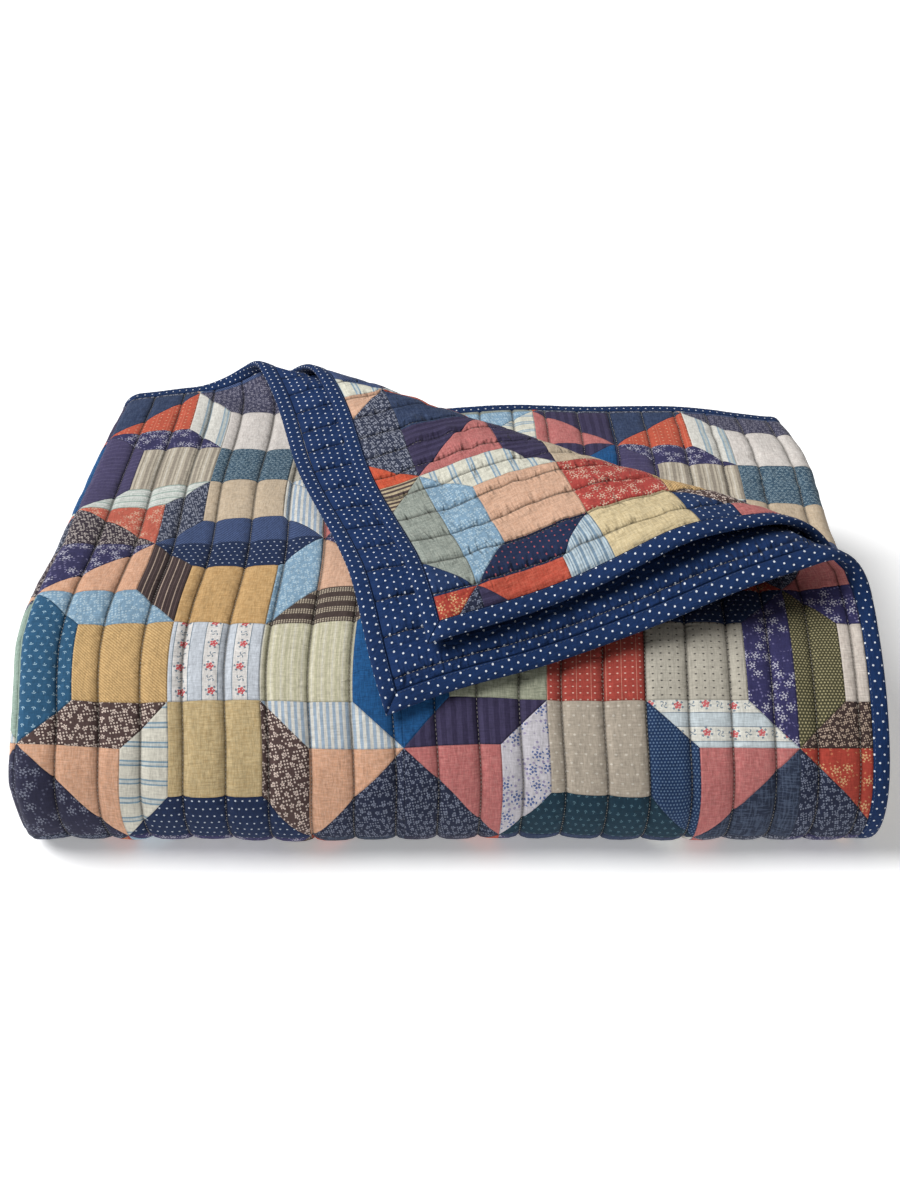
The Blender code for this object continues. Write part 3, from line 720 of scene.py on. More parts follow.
# The fabrics: colours as on a screen, and each print's repeat in millimetres
PRINTS = ("dots", "dot rows", "ditsy", "spray", "sprig", "stripe", "ticking",
          "pinstripe", "bars", "twill", "crossed", "roses", "braid", "basket")
MOST_PRINTS = 16.0                   # the table keeps a print's number as a share of this
MOST_SCALE = 32.0                    # and its scale as a share of this
Fabric =namedtuple("Fabric", "name ground motif accent print scale turned")
FABRICS = (
    Fabric("rose stripe", (234, 230, 226), (208, 214, 222), (212, 96, 100), "roses", 20.8, 0),
    Fabric("gold twill", (222, 188, 134), (194, 154, 102), (222, 188, 134), "twill", 2.4, 0),
    Fabric("green ticking", (214, 208, 182), (198, 194, 164), (220, 216, 198), "ticking", 7.0, 0),
    Fabric("khaki", (210, 188, 144), (194, 168, 122), (210, 188, 144), "crossed", 3.0, 0),
    Fabric("camel", (212, 174, 122), (196, 156, 104), (212, 174, 122), "crossed", 3.0, 0),
    Fabric("blue with sprigs", (50, 94, 128), (158, 190, 208), (112, 152, 178), "sprig", 5.8, 0),
    Fabric("mint", (158, 178, 166), (146, 168, 156), (158, 178, 166), "crossed", 3.0, 0),
    Fabric("denim", (36, 92, 146), (28, 74, 122), (36, 92, 146), "crossed", 2.4, 0),
    Fabric("navy oval dots", (32, 48, 82), (196, 204, 216), (32, 48, 82), "dots", 4.9, 0),
    Fabric("brown ditsy", (88, 70, 68), (220, 202, 190), (140, 112, 106), "ditsy", 6.4, 0),
    Fabric("blue bars", (222, 218, 204), (136, 162, 178), (204, 208, 204), "bars", 13.0, 1),
    Fabric("peach", (218, 166, 134), (230, 184, 156), (218, 166, 134), "crossed", 2.4, 0),
    Fabric("plum spray", (50, 50, 72), (124, 128, 146), (84, 86, 108), "spray", 7.6, 0),
    Fabric("blue ticking", (224, 222, 214), (166, 184, 202), (190, 200, 210), "stripe", 4.4, 0),
    Fabric("light blue sprig", (136, 168, 192), (180, 204, 218), (150, 182, 204), "ditsy", 7.2, 0),
    Fabric("brown pinstripe", (72, 58, 58), (182, 162, 146), (104, 86, 84), "pinstripe", 5.6, 0),
    Fabric("purple floral", (58, 56, 94), (186, 184, 200), (118, 114, 150), "spray", 8.5, 0),
    Fabric("brown braid", (78, 66, 62), (186, 174, 154), (118, 102, 94), "braid", 9.0, 1),
    Fabric("brick dots", (176, 76, 66), (226, 186, 170), (206, 142, 124), "dot rows", 4.8, 0),
    Fabric("sage", (172, 174, 152), (146, 150, 130), (172, 174, 152), "crossed", 3.0, 0),
    Fabric("taupe dots", (188, 182, 168), (92, 88, 84), (178, 172, 160), "dot rows", 5.4, 0),
    Fabric("beige dots", (186, 174, 158), (214, 206, 192), (186, 174, 158), "dots", 6.4, 0),
    Fabric("teal sprig", (28, 56, 72), (84, 116, 130), (56, 88, 104), "sprig", 5.2, 0),
    Fabric("violet flowers", (58, 56, 98), (192, 190, 206), (108, 104, 146), "spray", 7.8, 0),
    Fabric("purple stripe", (56, 50, 78), (68, 62, 92), (56, 50, 78), "stripe", 7.0, 0),
    Fabric("pale floral", (204, 200, 206), (92, 108, 156), (158, 150, 178), "spray", 10.0, 0),
    Fabric("rose pink", (188, 110, 108), (202, 130, 126), (188, 110, 108), "crossed", 2.4, 0),
    Fabric("rose stripe across", (228, 226, 216), (204, 214, 218), (208, 104, 108), "roses", 19.0, 1),
    Fabric("navy dotted weave", (34, 56, 92), (96, 120, 150), (34, 56, 92), "basket", 2.1, 0),
    Fabric("dark crosshatch", (42, 50, 70), (78, 90, 112), (42, 50, 70), "crossed", 3.6, 0),
    Fabric("dark floral", (40, 46, 68), (124, 131, 150), (70, 76, 98), "ditsy", 5.4, 0),
    Fabric("olive basket", (76, 74, 54), (172, 162, 122), (76, 74, 54), "basket", 2.2, 0),
    Fabric("cream", (216, 206, 196), (206, 194, 184), (216, 206, 196), "crossed", 3.0, 0),
    Fabric("dark brown ditsy", (66, 52, 50), (190, 168, 150), (120, 94, 84), "ditsy", 4.8, 0),
    Fabric("brick flowers", (176, 70, 58), (216, 168, 122), (198, 118, 86), "spray", 8.4, 0),
    Fabric("teal floral", (62, 88, 108), (142, 162, 172), (96, 120, 136), "ditsy", 4.2, 0),
    Fabric("grey stripes", (196, 186, 168), (162, 152, 138), (214, 206, 192), "ticking", 10.0, 0),
    Fabric("off-white", (222, 216, 210), (214, 206, 200), (222, 216, 210), "crossed", 3.0, 0),
    Fabric("tan", (206, 188, 164), (196, 176, 150), (206, 188, 164), "crossed", 3.0, 0),
    Fabric("navy twill", (48, 62, 100), (82, 100, 138), (48, 62, 100), "twill", 2.2, 0),
    Fabric("purple lines", (74, 68, 102), (92, 86, 118), (74, 68, 102), "pinstripe", 6.0, 1),
    Fabric("mauve crosshatch", (66, 66, 88), (136, 134, 150), (84, 82, 104), "ditsy", 4.6, 1),
    Fabric("mint stripes", (222, 224, 218), (176, 190, 182), (204, 210, 204), "ticking", 10.0, 1),
    Fabric("slate floral", (54, 60, 80), (154, 158, 172), (98, 104, 124), "ditsy", 5.4, 0),
    Fabric("salmon floral", (200, 104, 86), (226, 186, 160), (212, 144, 122), "spray", 8.8, 0),
    Fabric("brown floral", (62, 52, 62), (190, 180, 174), (120, 100, 104), "ditsy", 6.0, 0),
    Fabric("grey-blue stripes", (222, 220, 212), (158, 178, 190), (192, 198, 194), "bars", 16.0, 0),
    Fabric("orange speckle", (200, 94, 72), (228, 168, 136), (212, 126, 102), "dot rows", 5.6, 0),
    Fabric("dark blue", (46, 60, 90), (66, 80, 110), (46, 60, 90), "crossed", 3.0, 0),
    Fabric("chambray", (144, 152, 144), (168, 174, 164), (144, 152, 144), "crossed", 2.6, 0),
    Fabric("light peach", (220, 180, 154), (212, 168, 140), (220, 180, 154), "crossed", 3.0, 0),
    Fabric("red floral", (180, 74, 68), (224, 190, 168), (204, 132, 114), "spray", 8.4, 0),
    Fabric("navy red dots", (34, 46, 78), (170, 88, 96), (34, 46, 78), "dots", 5.6, 0),
    Fabric("brick", (190, 82, 64), (202, 100, 80), (190, 82, 64), "crossed", 2.6, 0),
    Fabric("light ticking", (190, 204, 210), (124, 148, 168), (158, 178, 192), "ticking", 7.0, 1),
    Fabric("straw", (220, 202, 162), (208, 188, 146), (220, 202, 162), "crossed", 3.0, 0),
    Fabric("navy dots", (32, 54, 94), (206, 212, 222), (32, 54, 94), "dots", 5.8, 0),
    Fabric("brown stripes", (190, 174, 144), (84, 70, 68), (122, 106, 96), "stripe", 4.6, 0),
    Fabric("orange-red", (202, 84, 58), (212, 102, 74), (202, 84, 58), "crossed", 2.6, 0),
    Fabric("cream stripes", (222, 220, 204), (146, 170, 188), (204, 210, 206), "bars", 14.0, 1),
)
ROSE_LEAF = (134, 148, 160)
FABRIC_NUMBERS = {fabric.name: number for number, fabric in enumerate(FABRICS)}

# One block of 25 pieces. Its four sides are listed right, left, back, front. Its corners are
# front left, front right, back left, back right.
Block = namedtuple("Block", "centre arms edges level upright inner outer")
BLOCKS = (
    Block("rose stripe",
          ("green ticking", "gold twill", "camel", "khaki"),
          ("denim", "blue with sprigs", "navy oval dots", "navy oval dots"),
          ("brown ditsy", "blue ticking", "light blue sprig", "brown braid"),
          ("blue bars", "brown ditsy", "brown pinstripe", "light blue sprig"),
          ("peach", "peach", "peach", "light peach"),
          ("plum spray", "dark floral", "purple floral", "purple floral")),
    Block("brick dots",
          ("taupe dots", "sage", "straw", "beige dots"),
          ("violet flowers", "denim", "navy twill", "teal sprig"),
          ("purple stripe", "rose stripe across", "pale floral", "navy oval dots"),
          ("pale floral", "navy dotted weave", "blue ticking", "salmon floral"),
          ("rose pink", "rose pink", "peach", "brick flowers"),
          ("dark floral", "dark crosshatch", "slate floral", "dark floral")),
    Block("tan",
          ("khaki", "cream", "camel", "off-white"),
          ("mint", "olive basket", "dark blue", "navy oval dots"),
          ("dark brown ditsy", "blue ticking", "violet flowers", "slate floral"),
          ("cream stripes", "light blue sprig", "brown ditsy", "pale floral"),
          ("brick flowers", "peach", "rose pink", "light peach"),
          ("dark floral", "plum spray", "slate floral", "brown floral")),
    Block("teal floral",
          ("taupe dots", "grey stripes", "off-white", "tan"),
          ("denim", "purple lines", "mauve crosshatch", "navy twill"),
          ("mint stripes", "blue ticking", "purple floral", "pale floral"),
          ("slate floral", "blue ticking", "grey-blue stripes", "cream stripes"),
          ("salmon floral", "rose pink", "orange speckle", "light peach"),
          ("brown floral", "plum spray", "dark blue", "purple floral")),
    Block("khaki",
          ("beige dots", "tan", "green ticking", "chambray"),
          ("navy twill", "blue with sprigs", "purple stripe", "denim"),
          ("brown braid", "dark floral", "blue ticking", "violet flowers"),
          ("light blue sprig", "cream stripes", "slate floral", "navy red dots"),
          ("salmon floral", "peach", "rose pink", "brick"),
          ("purple floral", "dark crosshatch", "plum spray", "dark blue")),
    Block("red floral",
          ("tan", "straw", "light peach", "gold twill"),
          ("denim", "navy oval dots", "light blue sprig", "teal sprig"),
          ("navy dots", "mint stripes", "light ticking", "purple stripe"),
          ("brown ditsy", "dark floral", "navy red dots", "cream stripes"),
          ("rose pink", "salmon floral", "brick", "rose pink"),
          ("dark blue", "slate floral", "purple stripe", "purple stripe")),
    Block("off-white",
          ("camel", "sage", "khaki", "gold twill"),
          ("teal sprig", "denim", "violet flowers", "navy twill"),
          ("pale floral", "navy oval dots", "dark brown ditsy", "blue ticking"),
          ("cream stripes", "slate floral", "light blue sprig", "brown braid"),
          ("light peach", "rose pink", "brick flowers", "brick"),
          ("slate floral", "purple floral", "dark floral", "dark crosshatch")),
    Block("gold twill",
          ("off-white", "khaki", "beige dots", "taupe dots"),
          ("blue with sprigs", "purple lines", "dark blue", "navy oval dots"),
          ("light ticking", "slate floral", "navy dotted weave", "mint stripes"),
          ("brown pinstripe", "pale floral", "violet flowers", "grey-blue stripes"),
          ("peach", "salmon floral", "brick", "rose pink"),
          ("dark floral", "brown floral", "plum spray", "slate floral")),
    Block("green ticking",
          ("camel", "light peach", "sage", "tan"),
          ("violet flowers", "teal sprig", "navy twill", "chambray"),
          ("blue ticking", "brown braid", "pale floral", "navy dots"),
          ("navy dots", "brown stripes", "dark floral", "light blue sprig"),
          ("brick flowers", "orange-red", "peach", "brick flowers"),
          ("dark floral", "slate floral", "purple floral", "dark blue")),
)


BLOCK_PATCHES = 4.0                  # a block is this many patches wide
BLOCK_CENTRE = (2.0, 1.0)            # the column and row of the first block's centre
DIAGONAL = 0.7071                    # a step towards a slanted seam brings it nearer by this
FAR = 9.0                            # stands for a seam that a place isn't beside

# The number of the first piece of each kind, in a block's list
FIRST_ARM = 1.0
FIRST_EDGE = 5.0
FIRST_LEANING = 9.0
FIRST_INNER = 17.0
FIRST_OUTER = 21.0


def fabric_numbers(block):
    """A block's fabrics by number, in the order of its pieces, as shares of the table."""
    names = (block.centre, *block.arms, *block.edges, *block.level, *block.upright,
             *block.inner, *block.outer)
    return [FABRIC_NUMBERS[name] / TABLE_LENGTH for name in names]


def patch_pieces(column, row):
    """Which piece of which block a place is in, and how far it is from the nearest seam."""
    block_column = ((column - BLOCK_CENTRE[0]) / BLOCK_PATCHES + 0.5).floor()
    block_row = ((row - BLOCK_CENTRE[1]) / BLOCK_PATCHES + 0.5).floor()
    a = column - BLOCK_CENTRE[0] - block_column * BLOCK_PATCHES
    b = row - BLOCK_CENTRE[1] - block_row * BLOCK_PATCHES
    wide, tall = abs(a), abs(b)
    most, least = wide.higher(tall), wide.lower(tall)
    right = a > 0.0
    back = b > 0.0
    upright = tall > wide
    corner = right + back * 2.0
    side = upright * (3.0 - back) + (1.0 - upright) * (1.0 - right)
    inmost = least < 0.5
    outmost = least > 1.0
    between = 1.0 - inmost - outmost
    arm = inmost * (most > 0.5) * (most < 1.5)
    slant = most - least - 1.0
    edge = inmost * (most > 1.5) + between * (slant > 0.0)
    leaning = between * (slant < 0.0)
    outer = outmost * (wide + tall > 3.0)
    inner = outmost - outer
    piece = (arm * (side + FIRST_ARM) + edge * (side + FIRST_EDGE)
             + leaning * (corner + FIRST_LEANING + upright * 4.0)
             + inner * (corner + FIRST_INNER) + outer * (corner + FIRST_OUTER))
    off_inmost, off_between, off_outmost = (
        (1.0 - where) * FAR for where in (inmost, between, outmost))
    seam = abs(least - 0.5) + (most > 1.5) * FAR
    seam = seam.lower(abs(most - 0.5) + off_inmost)
    seam = seam.lower(abs(most - 1.5) + off_inmost)
    seam = seam.lower(abs(slant) * DIAGONAL + off_between)
    seam = seam.lower((most - least) * DIAGONAL + off_between + (most > 1.0) * FAR)
    seam = seam.lower(abs(least - 1.0) + (most < 1.0) * FAR)
    seam = seam.lower(abs(wide + tall - 3.0) * DIAGONAL + off_outmost)
    seam = seam.lower(BLOCK_PATCHES / 2 - most)
    return block_column, block_row, piece, seam


def look_up_fabric(finish, block_column, block_row, piece):
    """The fabric of a piece: the nine blocks repeat in threes, both ways."""
    kind = block_column % 3.0
    number = 0.0
    for row in range(3):
        three = [fabric_numbers(block) for block in BLOCKS[row * 3:row * 3 + 3]]
        parts = finish.parts(finish.steps(piece, list(zip(*three))))
        picked = sum(parts[k] * kind.near(float(k), 0.5) for k in range(3))
        number = number + picked * (block_row % 3.0).near(float(row), 0.5)
    return (number * TABLE_LENGTH + 0.5).floor()


def fabric_columns(finish, number):
    """The colours and the style of a fabric, from the table of fabrics."""
    ground, motif, accent = (
        finish.long_steps(number, [linear(getattr(fabric, colour)) for fabric in FABRICS])
        for colour in ("ground", "motif", "accent"))
    kind, scale, turned = finish.parts(finish.long_steps(number, [
        (PRINTS.index(fabric.print) / MOST_PRINTS, fabric.scale / MOST_SCALE, float(fabric.turned))
        for fabric in FABRICS]))
    return ground, motif, accent, kind * MOST_PRINTS, scale * MOST_SCALE, turned


def print_masks(finish, x, y, kind, start):
    """Where a print shows its motif, its accent and its leaves, on places in repeats.

    The shapes' sizes below are shares of a repeat too.
    """
    def is_print(*names):
        return sum(kind.near(float(PRINTS.index(name)), 0.4) for name in names)

    row = y.floor()
    shift = (row % 2.0) * 0.5 * (1.0 - is_print("dot rows", "roses"))
    column = (x + shift).floor()
    chance, spread = finish.chance(finish.joined(column, row, start))
    jitter = finish.parts(spread)
    loose = is_print("ditsy", "spray") * 0.34
    u = x + shift - column - 0.5 + (jitter[0] - 0.5) * loose
    v = y - row - 0.5 + (jitter[1] - 0.5) * loose
    reach = (u * u + v * v).math("SQRT")
    turn = v.math("ARCTAN2", u) + chance * 6.28
    petal_turn = ((turn * (5.0 / 6.283)) % 1.0 - 0.5) * (6.283 / 5.0)
    petal_u = (reach * petal_turn.math("COSINE") - 0.17) * 10.0
    petal_v = reach * petal_turn.math("SINE") * 13.5
    flower = (petal_u * petal_u + petal_v * petal_v) < 1.0
    heart = reach < 0.055
    halo = (abs(reach - 0.38) < 0.05) * ((turn * 6.0).math("COSINE") > 0.45)
    dot = (u * u * 0.8 + v * v * 1.5) < 0.016
    facing = (chance > 0.5) * 2.0 - 1.0
    leaf = (abs(reach - 0.17) < 0.055) * (v * facing + u * 0.3 > 0.04)
    leaf = leaf.higher((u * u + (v + facing * 0.12) * (v + facing * 0.12)) < 0.004)
    # a second, finer scatter fills in between the flowers
    fine_x, fine_y = x * 3.1 + y * 0.7, y * 2.9 - x * 0.6
    fine_column, fine_row = fine_x.floor(), fine_y.floor()
    present, _ = finish.chance(finish.joined(fine_column, fine_row, start + 7.0))
    du, dv = fine_x - fine_column - 0.5, fine_y - fine_row - 0.5
    fleck = ((du * du + dv * dv) < 0.085) * (present > 0.45)
    wave = x % 1.0
    half = wave < 0.5
    thin = wave < 0.13
    pair = (abs(wave - 0.15) < 0.045) + (abs(wave - 0.38) < 0.045)
    band = abs(wave - 0.72) < 0.24
    band_edge = abs(abs(wave - 0.72) - 0.24) < 0.015
    # a full bloom with leaves round it, then a smaller bud, up each rose stripe
    rose_u = wave - 0.24 + ((y * 1.1).floor() % 2.0 - 0.5) * 0.06
    rose_v = ((y * 1.1) % 1.0 - 0.5) / 1.1
    rose_reach = (rose_u * rose_u + rose_v * rose_v).math("SQRT")
    rose_turn = rose_v.math("ARCTAN2", rose_u)
    rose = rose_reach < 0.118 + (rose_turn * 5.0).math("COSINE") * 0.020
    rose = rose * (1.0 - (abs(rose_reach - 0.066) < 0.011) * ((rose_turn * 3.0).math("SINE") > 0.3))
    rose_leaf = (abs(rose_reach - 0.17) < 0.035) * ((rose_turn * 6.0 + 1.0).math("COSINE") > 0.25)
    bud_v = (y * 1.1) % 1.0 / 1.1 - (rose_v > 0.0) * (1.0 / 1.1)
    bud_reach = (rose_u * rose_u + bud_v * bud_v).math("SQRT")
    bud_turn = bud_v.math("ARCTAN2", rose_u)
    bud_leaf = (bud_reach < 0.13) * ((bud_turn * 4.0 + bud_reach * 30.0).math("COSINE") > 0.45)
    rose_leaf = rose_leaf.higher(bud_leaf).higher(band_edge)
    twist = ((x + y) % 1.0) < 0.45
    threads_x = finish.noise(finish.joined(x * 3.0, y * 0.35, start), 1.0) > 0.53
    threads_y = finish.noise(finish.joined(x * 0.35, y * 3.0, start + 3.0), 1.0) > 0.53
    plait = half * (((y * 5.0) % 1.0) < 0.6) * (abs((wave * 6.0) % 1.0 - 0.5) < 0.36)
    motif = (
        is_print("dots", "dot rows") * dot
        + is_print("basket") * (u * u + v * v < 0.075)
        + is_print("ditsy") * flower.higher(fleck)
        + is_print("spray") * flower.higher(halo) * (jitter[2] > 0.35)
        + is_print("sprig") * leaf.higher(reach < 0.06)
        + is_print("stripe") * half
        + is_print("ticking") * (abs(wave - 0.2) < 0.14).higher(abs(wave - 0.55) < 0.05)
        + is_print("pinstripe") * thin
        + is_print("bars") * pair
        + is_print("twill") * twist
        + is_print("crossed") * (threads_x * 0.6 + threads_y * 0.6).lower(1.0)
        + is_print("roses") * (band - band_edge)
        + is_print("braid") * plait
    )
    accent = (
        is_print("ditsy") * heart
        + is_print("spray") * (fleck * (reach > 0.42))
        + is_print("ticking") * (abs(wave - 0.8) < 0.06)
        + is_print("pinstripe") * (abs(wave - 0.55) < 0.03)
        + is_print("bars") * (abs(wave - 0.265) < 0.07)
        + is_print("roses") * rose
        + is_print("dot rows") * (abs((x * 0.5) % 1.0 - 0.5) < 0.02)
    )
    return motif.lower(1.0), accent.lower(1.0), is_print("roses") * rose_leaf


MILLIMETRES = 1000.0                 # in a metre
TURNED_COLUMN = -17.0                # patch columns below this are on the turned corner
FLAT_CREASING = 0.85                 # how strongly the cloth creases, elsewhere
TURNED_CREASING = 1.5                # and how much more there
REVERSE_CREASING = 2.4
BUMP_DISTANCE = 0.001
BUMP_STRENGTH = 0.9


def woven_grain(finish, column, row):
    """Uneven threads of a plain weave, both ways, from 0 to 1."""
    weft = finish.noise(finish.joined(column * 10.0, row * 62.0), 1.0, 1.0, 0.6)
    warp = finish.noise(finish.joined(column * 62.0, row * 10.0, 4.0), 1.0, 1.0, 0.6)
    return (weft + warp - 0.5).higher(0.0)


def from_line(line):
    """How many millimetres a place is from the nearest quilting line."""
    share = line % 1.0
    return share.lower(1.0 - share) * (CHANNEL_WIDTH * MILLIMETRES)


def cloth_bump(finish, place, away, rumple_height, creasing, seam=None):
    """Weave, creases drawn up beside the quilting, its groove, and the seams' ditches.

    The heights are millimetres. Creasing makes the creases and the rumples stronger.
    """
    column, row, _ = finish.parts(place)
    drawn = finish.noise(finish.joined(column * 3.0, row * 7.0), 1.0, 2.0, 0.55)
    ridges = (1.0 - abs(drawn - 0.5) * 6.0).higher(0.0)
    creases = (ridges * 0.55 + drawn * 1.6) * (away * away * -0.016).math("EXPONENT")
    height = (finish.noise(place, 55.0, 2.0, 0.7) * 0.11 + creases * creasing
              + finish.noise(place, 4.0, 3.0, 0.55) * rumple_height * 2.0 * creasing
              - away.fading(0.9) * 0.8)
    if seam is not None:
        height = height - (seam * (PATCH * MILLIMETRES)).fading(0.6) * 0.5
    bump = finish.node("Bump", inputs={
        "Height": height, "Distance": BUMP_DISTANCE, "Strength": BUMP_STRENGTH})
    finish.set("Normal", bump.outputs[0])


def patchwork_cloth():
    """The patchwork: nine blocks of printed cottons, from the tables above."""
    finish = Finish("patchwork cotton", 0.86, 0.04)
    place = finish.node("Attribute", {"attribute_name": "cloth"}).outputs["Vector"]
    column, row, line = finish.parts(place)
    block_column, block_row, piece, seam = patch_pieces(column, row)
    number = look_up_fabric(finish, block_column, block_row, piece)
    ground, motif, accent, kind, scale, turned = fabric_columns(finish, number)
    start = piece + block_column * 31.0 + block_row * 57.0
    _, spread = finish.chance(finish.joined(start, number, 5.0))
    offset = finish.parts(spread)
    x = (column * (PATCH * MILLIMETRES)) / scale + offset[0] * 7.0
    y = (row * (PATCH * MILLIMETRES)) / scale + offset[1] * 7.0
    across = x + turned * (y - x)
    up = y + turned * (x - y)
    motif_mask, accent_mask, leaf_mask = print_masks(finish, across, up, kind, start)
    colour = finish.mixed(motif_mask, ground, motif)
    colour = finish.mixed(leaf_mask, colour, (*linear(ROSE_LEAF), 1.0))
    colour = finish.mixed(accent_mask, colour, accent)
    fade = finish.noise(place, 1.7, 3.0, 0.6)
    grain = woven_grain(finish, column, row)
    away = from_line(line)
    # Painted shade: the patchwork is darkened along the quilting lines' grooves and the seams'
    # ditches, where shade falls
    painted_groove_shade = away.fading(0.8) * 0.50 + away.fading(2.4) * 0.14
    painted_groove_shade = painted_groove_shade + (seam * (PATCH * MILLIMETRES)).fading(0.4) * 0.22
    light = (0.50 + fade * 0.20 + grain * 0.46) * (1.0 - painted_groove_shade)
    shade = finish.joined(light, light, light)
    colour = finish.mixed(1.0, colour, shade, "MULTIPLY")
    finish.set("Base Color", colour)
    finish.set("Roughness", 0.80 + grain * 0.14)
    creasing = (column < TURNED_COLUMN) * TURNED_CREASING + FLAT_CREASING
    cloth_bump(finish, place, away, 0.6, creasing, seam)
    return finish.material


NAVY = (22, 50, 96)
BINDING_NAVY = (21, 48, 92)
NAVY_DOT = (228, 233, 240)
DOT_PITCH = 0.098                    # between pin dots in a row, in patches
DOT_ROW_PITCH = DOT_PITCH * 0.866    # between the rows
DOT_RADIUS = 0.0108
QUILTING_THREAD = (164, 158, 150)
BINDING_THREAD = (74, 92, 126)


def pin_dot_cloth(name, navy, quilted):
    """Navy cotton with small white dots in staggered rows."""
    finish = Finish(name, 0.84, 0.04)
    place = finish.node("Attribute", {"attribute_name": "cloth"}).outputs["Vector"]
    column, row, line = finish.parts(place)
    x = column / DOT_PITCH
    y = row / DOT_ROW_PITCH
    whole = y.floor()
    x = x + (whole % 2.0) * 0.5
    u = (x % 1.0 - 0.5) * DOT_PITCH
    v = (y - whole - 0.5) * DOT_ROW_PITCH
    wobble = finish.noise(place, 20.0, 1.0) * 0.004 - 0.002
    dot = ((u * u + v * v).math("SQRT") + wobble) < DOT_RADIUS
    fade = finish.noise(place, 1.4, 3.0, 0.6)
    grain = woven_grain(finish, column, row)
    light = 0.48 + fade * 0.20 + grain * 0.42
    if quilted:
        away = from_line(line)
        # Painted shade: the navy is darkened along the quilting lines' grooves, where shade falls
        light = light * (1.0 - away.fading(0.8) * 0.45 - away.fading(2.4) * 0.12)
        cloth_bump(finish, place, away, 0.7, REVERSE_CREASING)
    else:
        drawn = finish.noise(place, 9.0, 2.0, 0.55)
        bump = finish.node("Bump", inputs={
            "Height": finish.noise(place, 55.0, 2.0, 0.7) * 0.11 + drawn * 1.3,
            "Distance": BUMP_DISTANCE, "Strength": BUMP_STRENGTH})
        finish.set("Normal", bump.outputs[0])
    shade = finish.joined(light, light, light)
    colour = finish.mixed(dot, (*linear(navy), 1.0), (*linear(NAVY_DOT), 1.0))
    finish.set("Base Color", finish.mixed(1.0, colour, shade, "MULTIPLY"))
    finish.set("Roughness", 0.78 + grain * 0.14)
    return finish.material


def thread(name, colour):
    finish = Finish(name, 0.6, 0.1)
    place = finish.node("TexCoord").outputs["Object"]
    twist = finish.noise(place, 2600.0, 1.0)
    light = 0.8 + twist * 0.35
    shade = finish.joined(light, light, light)
    finish.set("Base Color", finish.mixed(1.0, (*linear(colour), 1.0), shade, "MULTIPLY"))
    finish.set("Roughness", 0.5 + twist * 0.2)
    return finish.material


# The binding
BINDING_SHARES = (0.0, 0.03, 0.10, 0.20, 0.34, 0.55, 0.78, 0.93, 1.0)
MITRE_REACH = 0.024
BINDING_SEWN_AT = 0.90               # where the binding is stitched, as a share of its width
BINDING_EDGE_SHARE = 0.4             # its folded edge, as a share of the solid's
BINDING_PLUMPNESS = 0.00022
BINDING_RIPPLE = 0.00022
RIPPLE_PITCH = 0.011
BINDING_SEWN_DEPTH = 0.0006
BINDING_STEP = 0.0065
BINDING_GAP = 0.0012


def binding_half(share, along):
    """Half thickness of the binding, from its rounded outer edge to its sewn inner edge."""
    rounding = np.clip(share / ROUND_SHARE, 0.0, 1.0)
    arc = np.sqrt(np.clip(1.0 - (1.0 - rounding) ** 2, 0.0, 1.0))
    edge = BINDING_EDGE_SHARE * BINDING_EDGE_THICKNESS
    half = (edge + (BINDING_THICKNESS - edge) * arc) / 2
    plump = BINDING_PLUMPNESS * np.sin(math.pi * np.clip((share - 0.15) / 0.8, 0.0, 1.0))
    ripple = BINDING_RIPPLE * uneven(along / RIPPLE_PITCH, share * 1.3, 9) * arc
    sewn = BINDING_SEWN_DEPTH * np.clip((share - BINDING_SEWN_AT) / 0.10, 0.0, 1.0)
    return half + plump + ripple - sewn


def binding_strip(name, runs_along, far):
    """One binding strip as a closed tube round the quilt's edge, with mitred ends."""
    size = (QUILT_WIDTH, QUILT_LENGTH)
    cross = 0 if runs_along else 1
    length = size[1 - cross]
    if runs_along:
        steps = np.concatenate([[0.0], row_places(), [length]])
    else:
        columns = [0.0, *column_places(1), length]
        steps = sorted(set(columns) | set(np.arange(0.0, length, BINDING_STEP)))
        steps = np.array(spaced(steps, BINDING_GAP))
    ring = [(s, 1) for s in BINDING_SHARES[1:][::-1]] + [(0.0, 1)]
    ring += [(s, -1) for s in BINDING_SHARES[1:]]
    across_all = []
    along_all = []
    height_all = []
    printed_all = []
    for share, side in ring:
        inward = share * BINDING_WIDTH
        near = np.clip(1.0 - steps / MITRE_REACH, 0.0, 1.0)
        away = np.clip(1.0 - (length - steps) / MITRE_REACH, 0.0, 1.0)
        shift = inward + PART_GAP * 0.7
        run = steps + shift * near - shift * away
        place = size[cross] - inward if far else inward
        half = binding_half(np.full_like(run, share), run) * side
        if share == 0.0:
            half = half * 0.0
        across_all.append(np.full_like(run, place) if runs_along else run)
        along_all.append(run if runs_along else np.full_like(run, place))
        height_all.append(half)
        round_edge = side * inward + half
        printed_all.append(size[cross] - round_edge if far else round_edge)
    across = np.concatenate(across_all)
    along = np.concatenate(along_all)
    height = np.concatenate(height_all)
    printed = np.concatenate(printed_all)
    points = quilt_points(across, along, height)
    count = len(steps)
    faces = []
    for place in range(len(ring)):
        other = (place + 1) % len(ring)
        for step in range(count - 1):
            faces.append((place * count + step, place * count + step + 1,
                          other * count + step + 1, other * count + step))
    faces.append([place * count for place in range(len(ring))])
    faces.append([place * count + count - 1 for place in range(len(ring))][::-1])
    mesh = bpy.data.meshes.new(name)
    mesh.from_pydata(points.tolist(), [], faces)
    mesh.polygons.foreach_set("use_smooth", [True] * len(faces))
    if runs_along:
        write_cloth_places(mesh, printed, along, False)
    else:
        write_cloth_places(mesh, across, printed, False)
    mesh.validate()
    work = bmesh.new()
    work.from_mesh(mesh)
    bmesh.ops.recalc_face_normals(work, faces=work.faces[:])
    work.to_mesh(mesh)
    work.free()
    return outward(mesh)


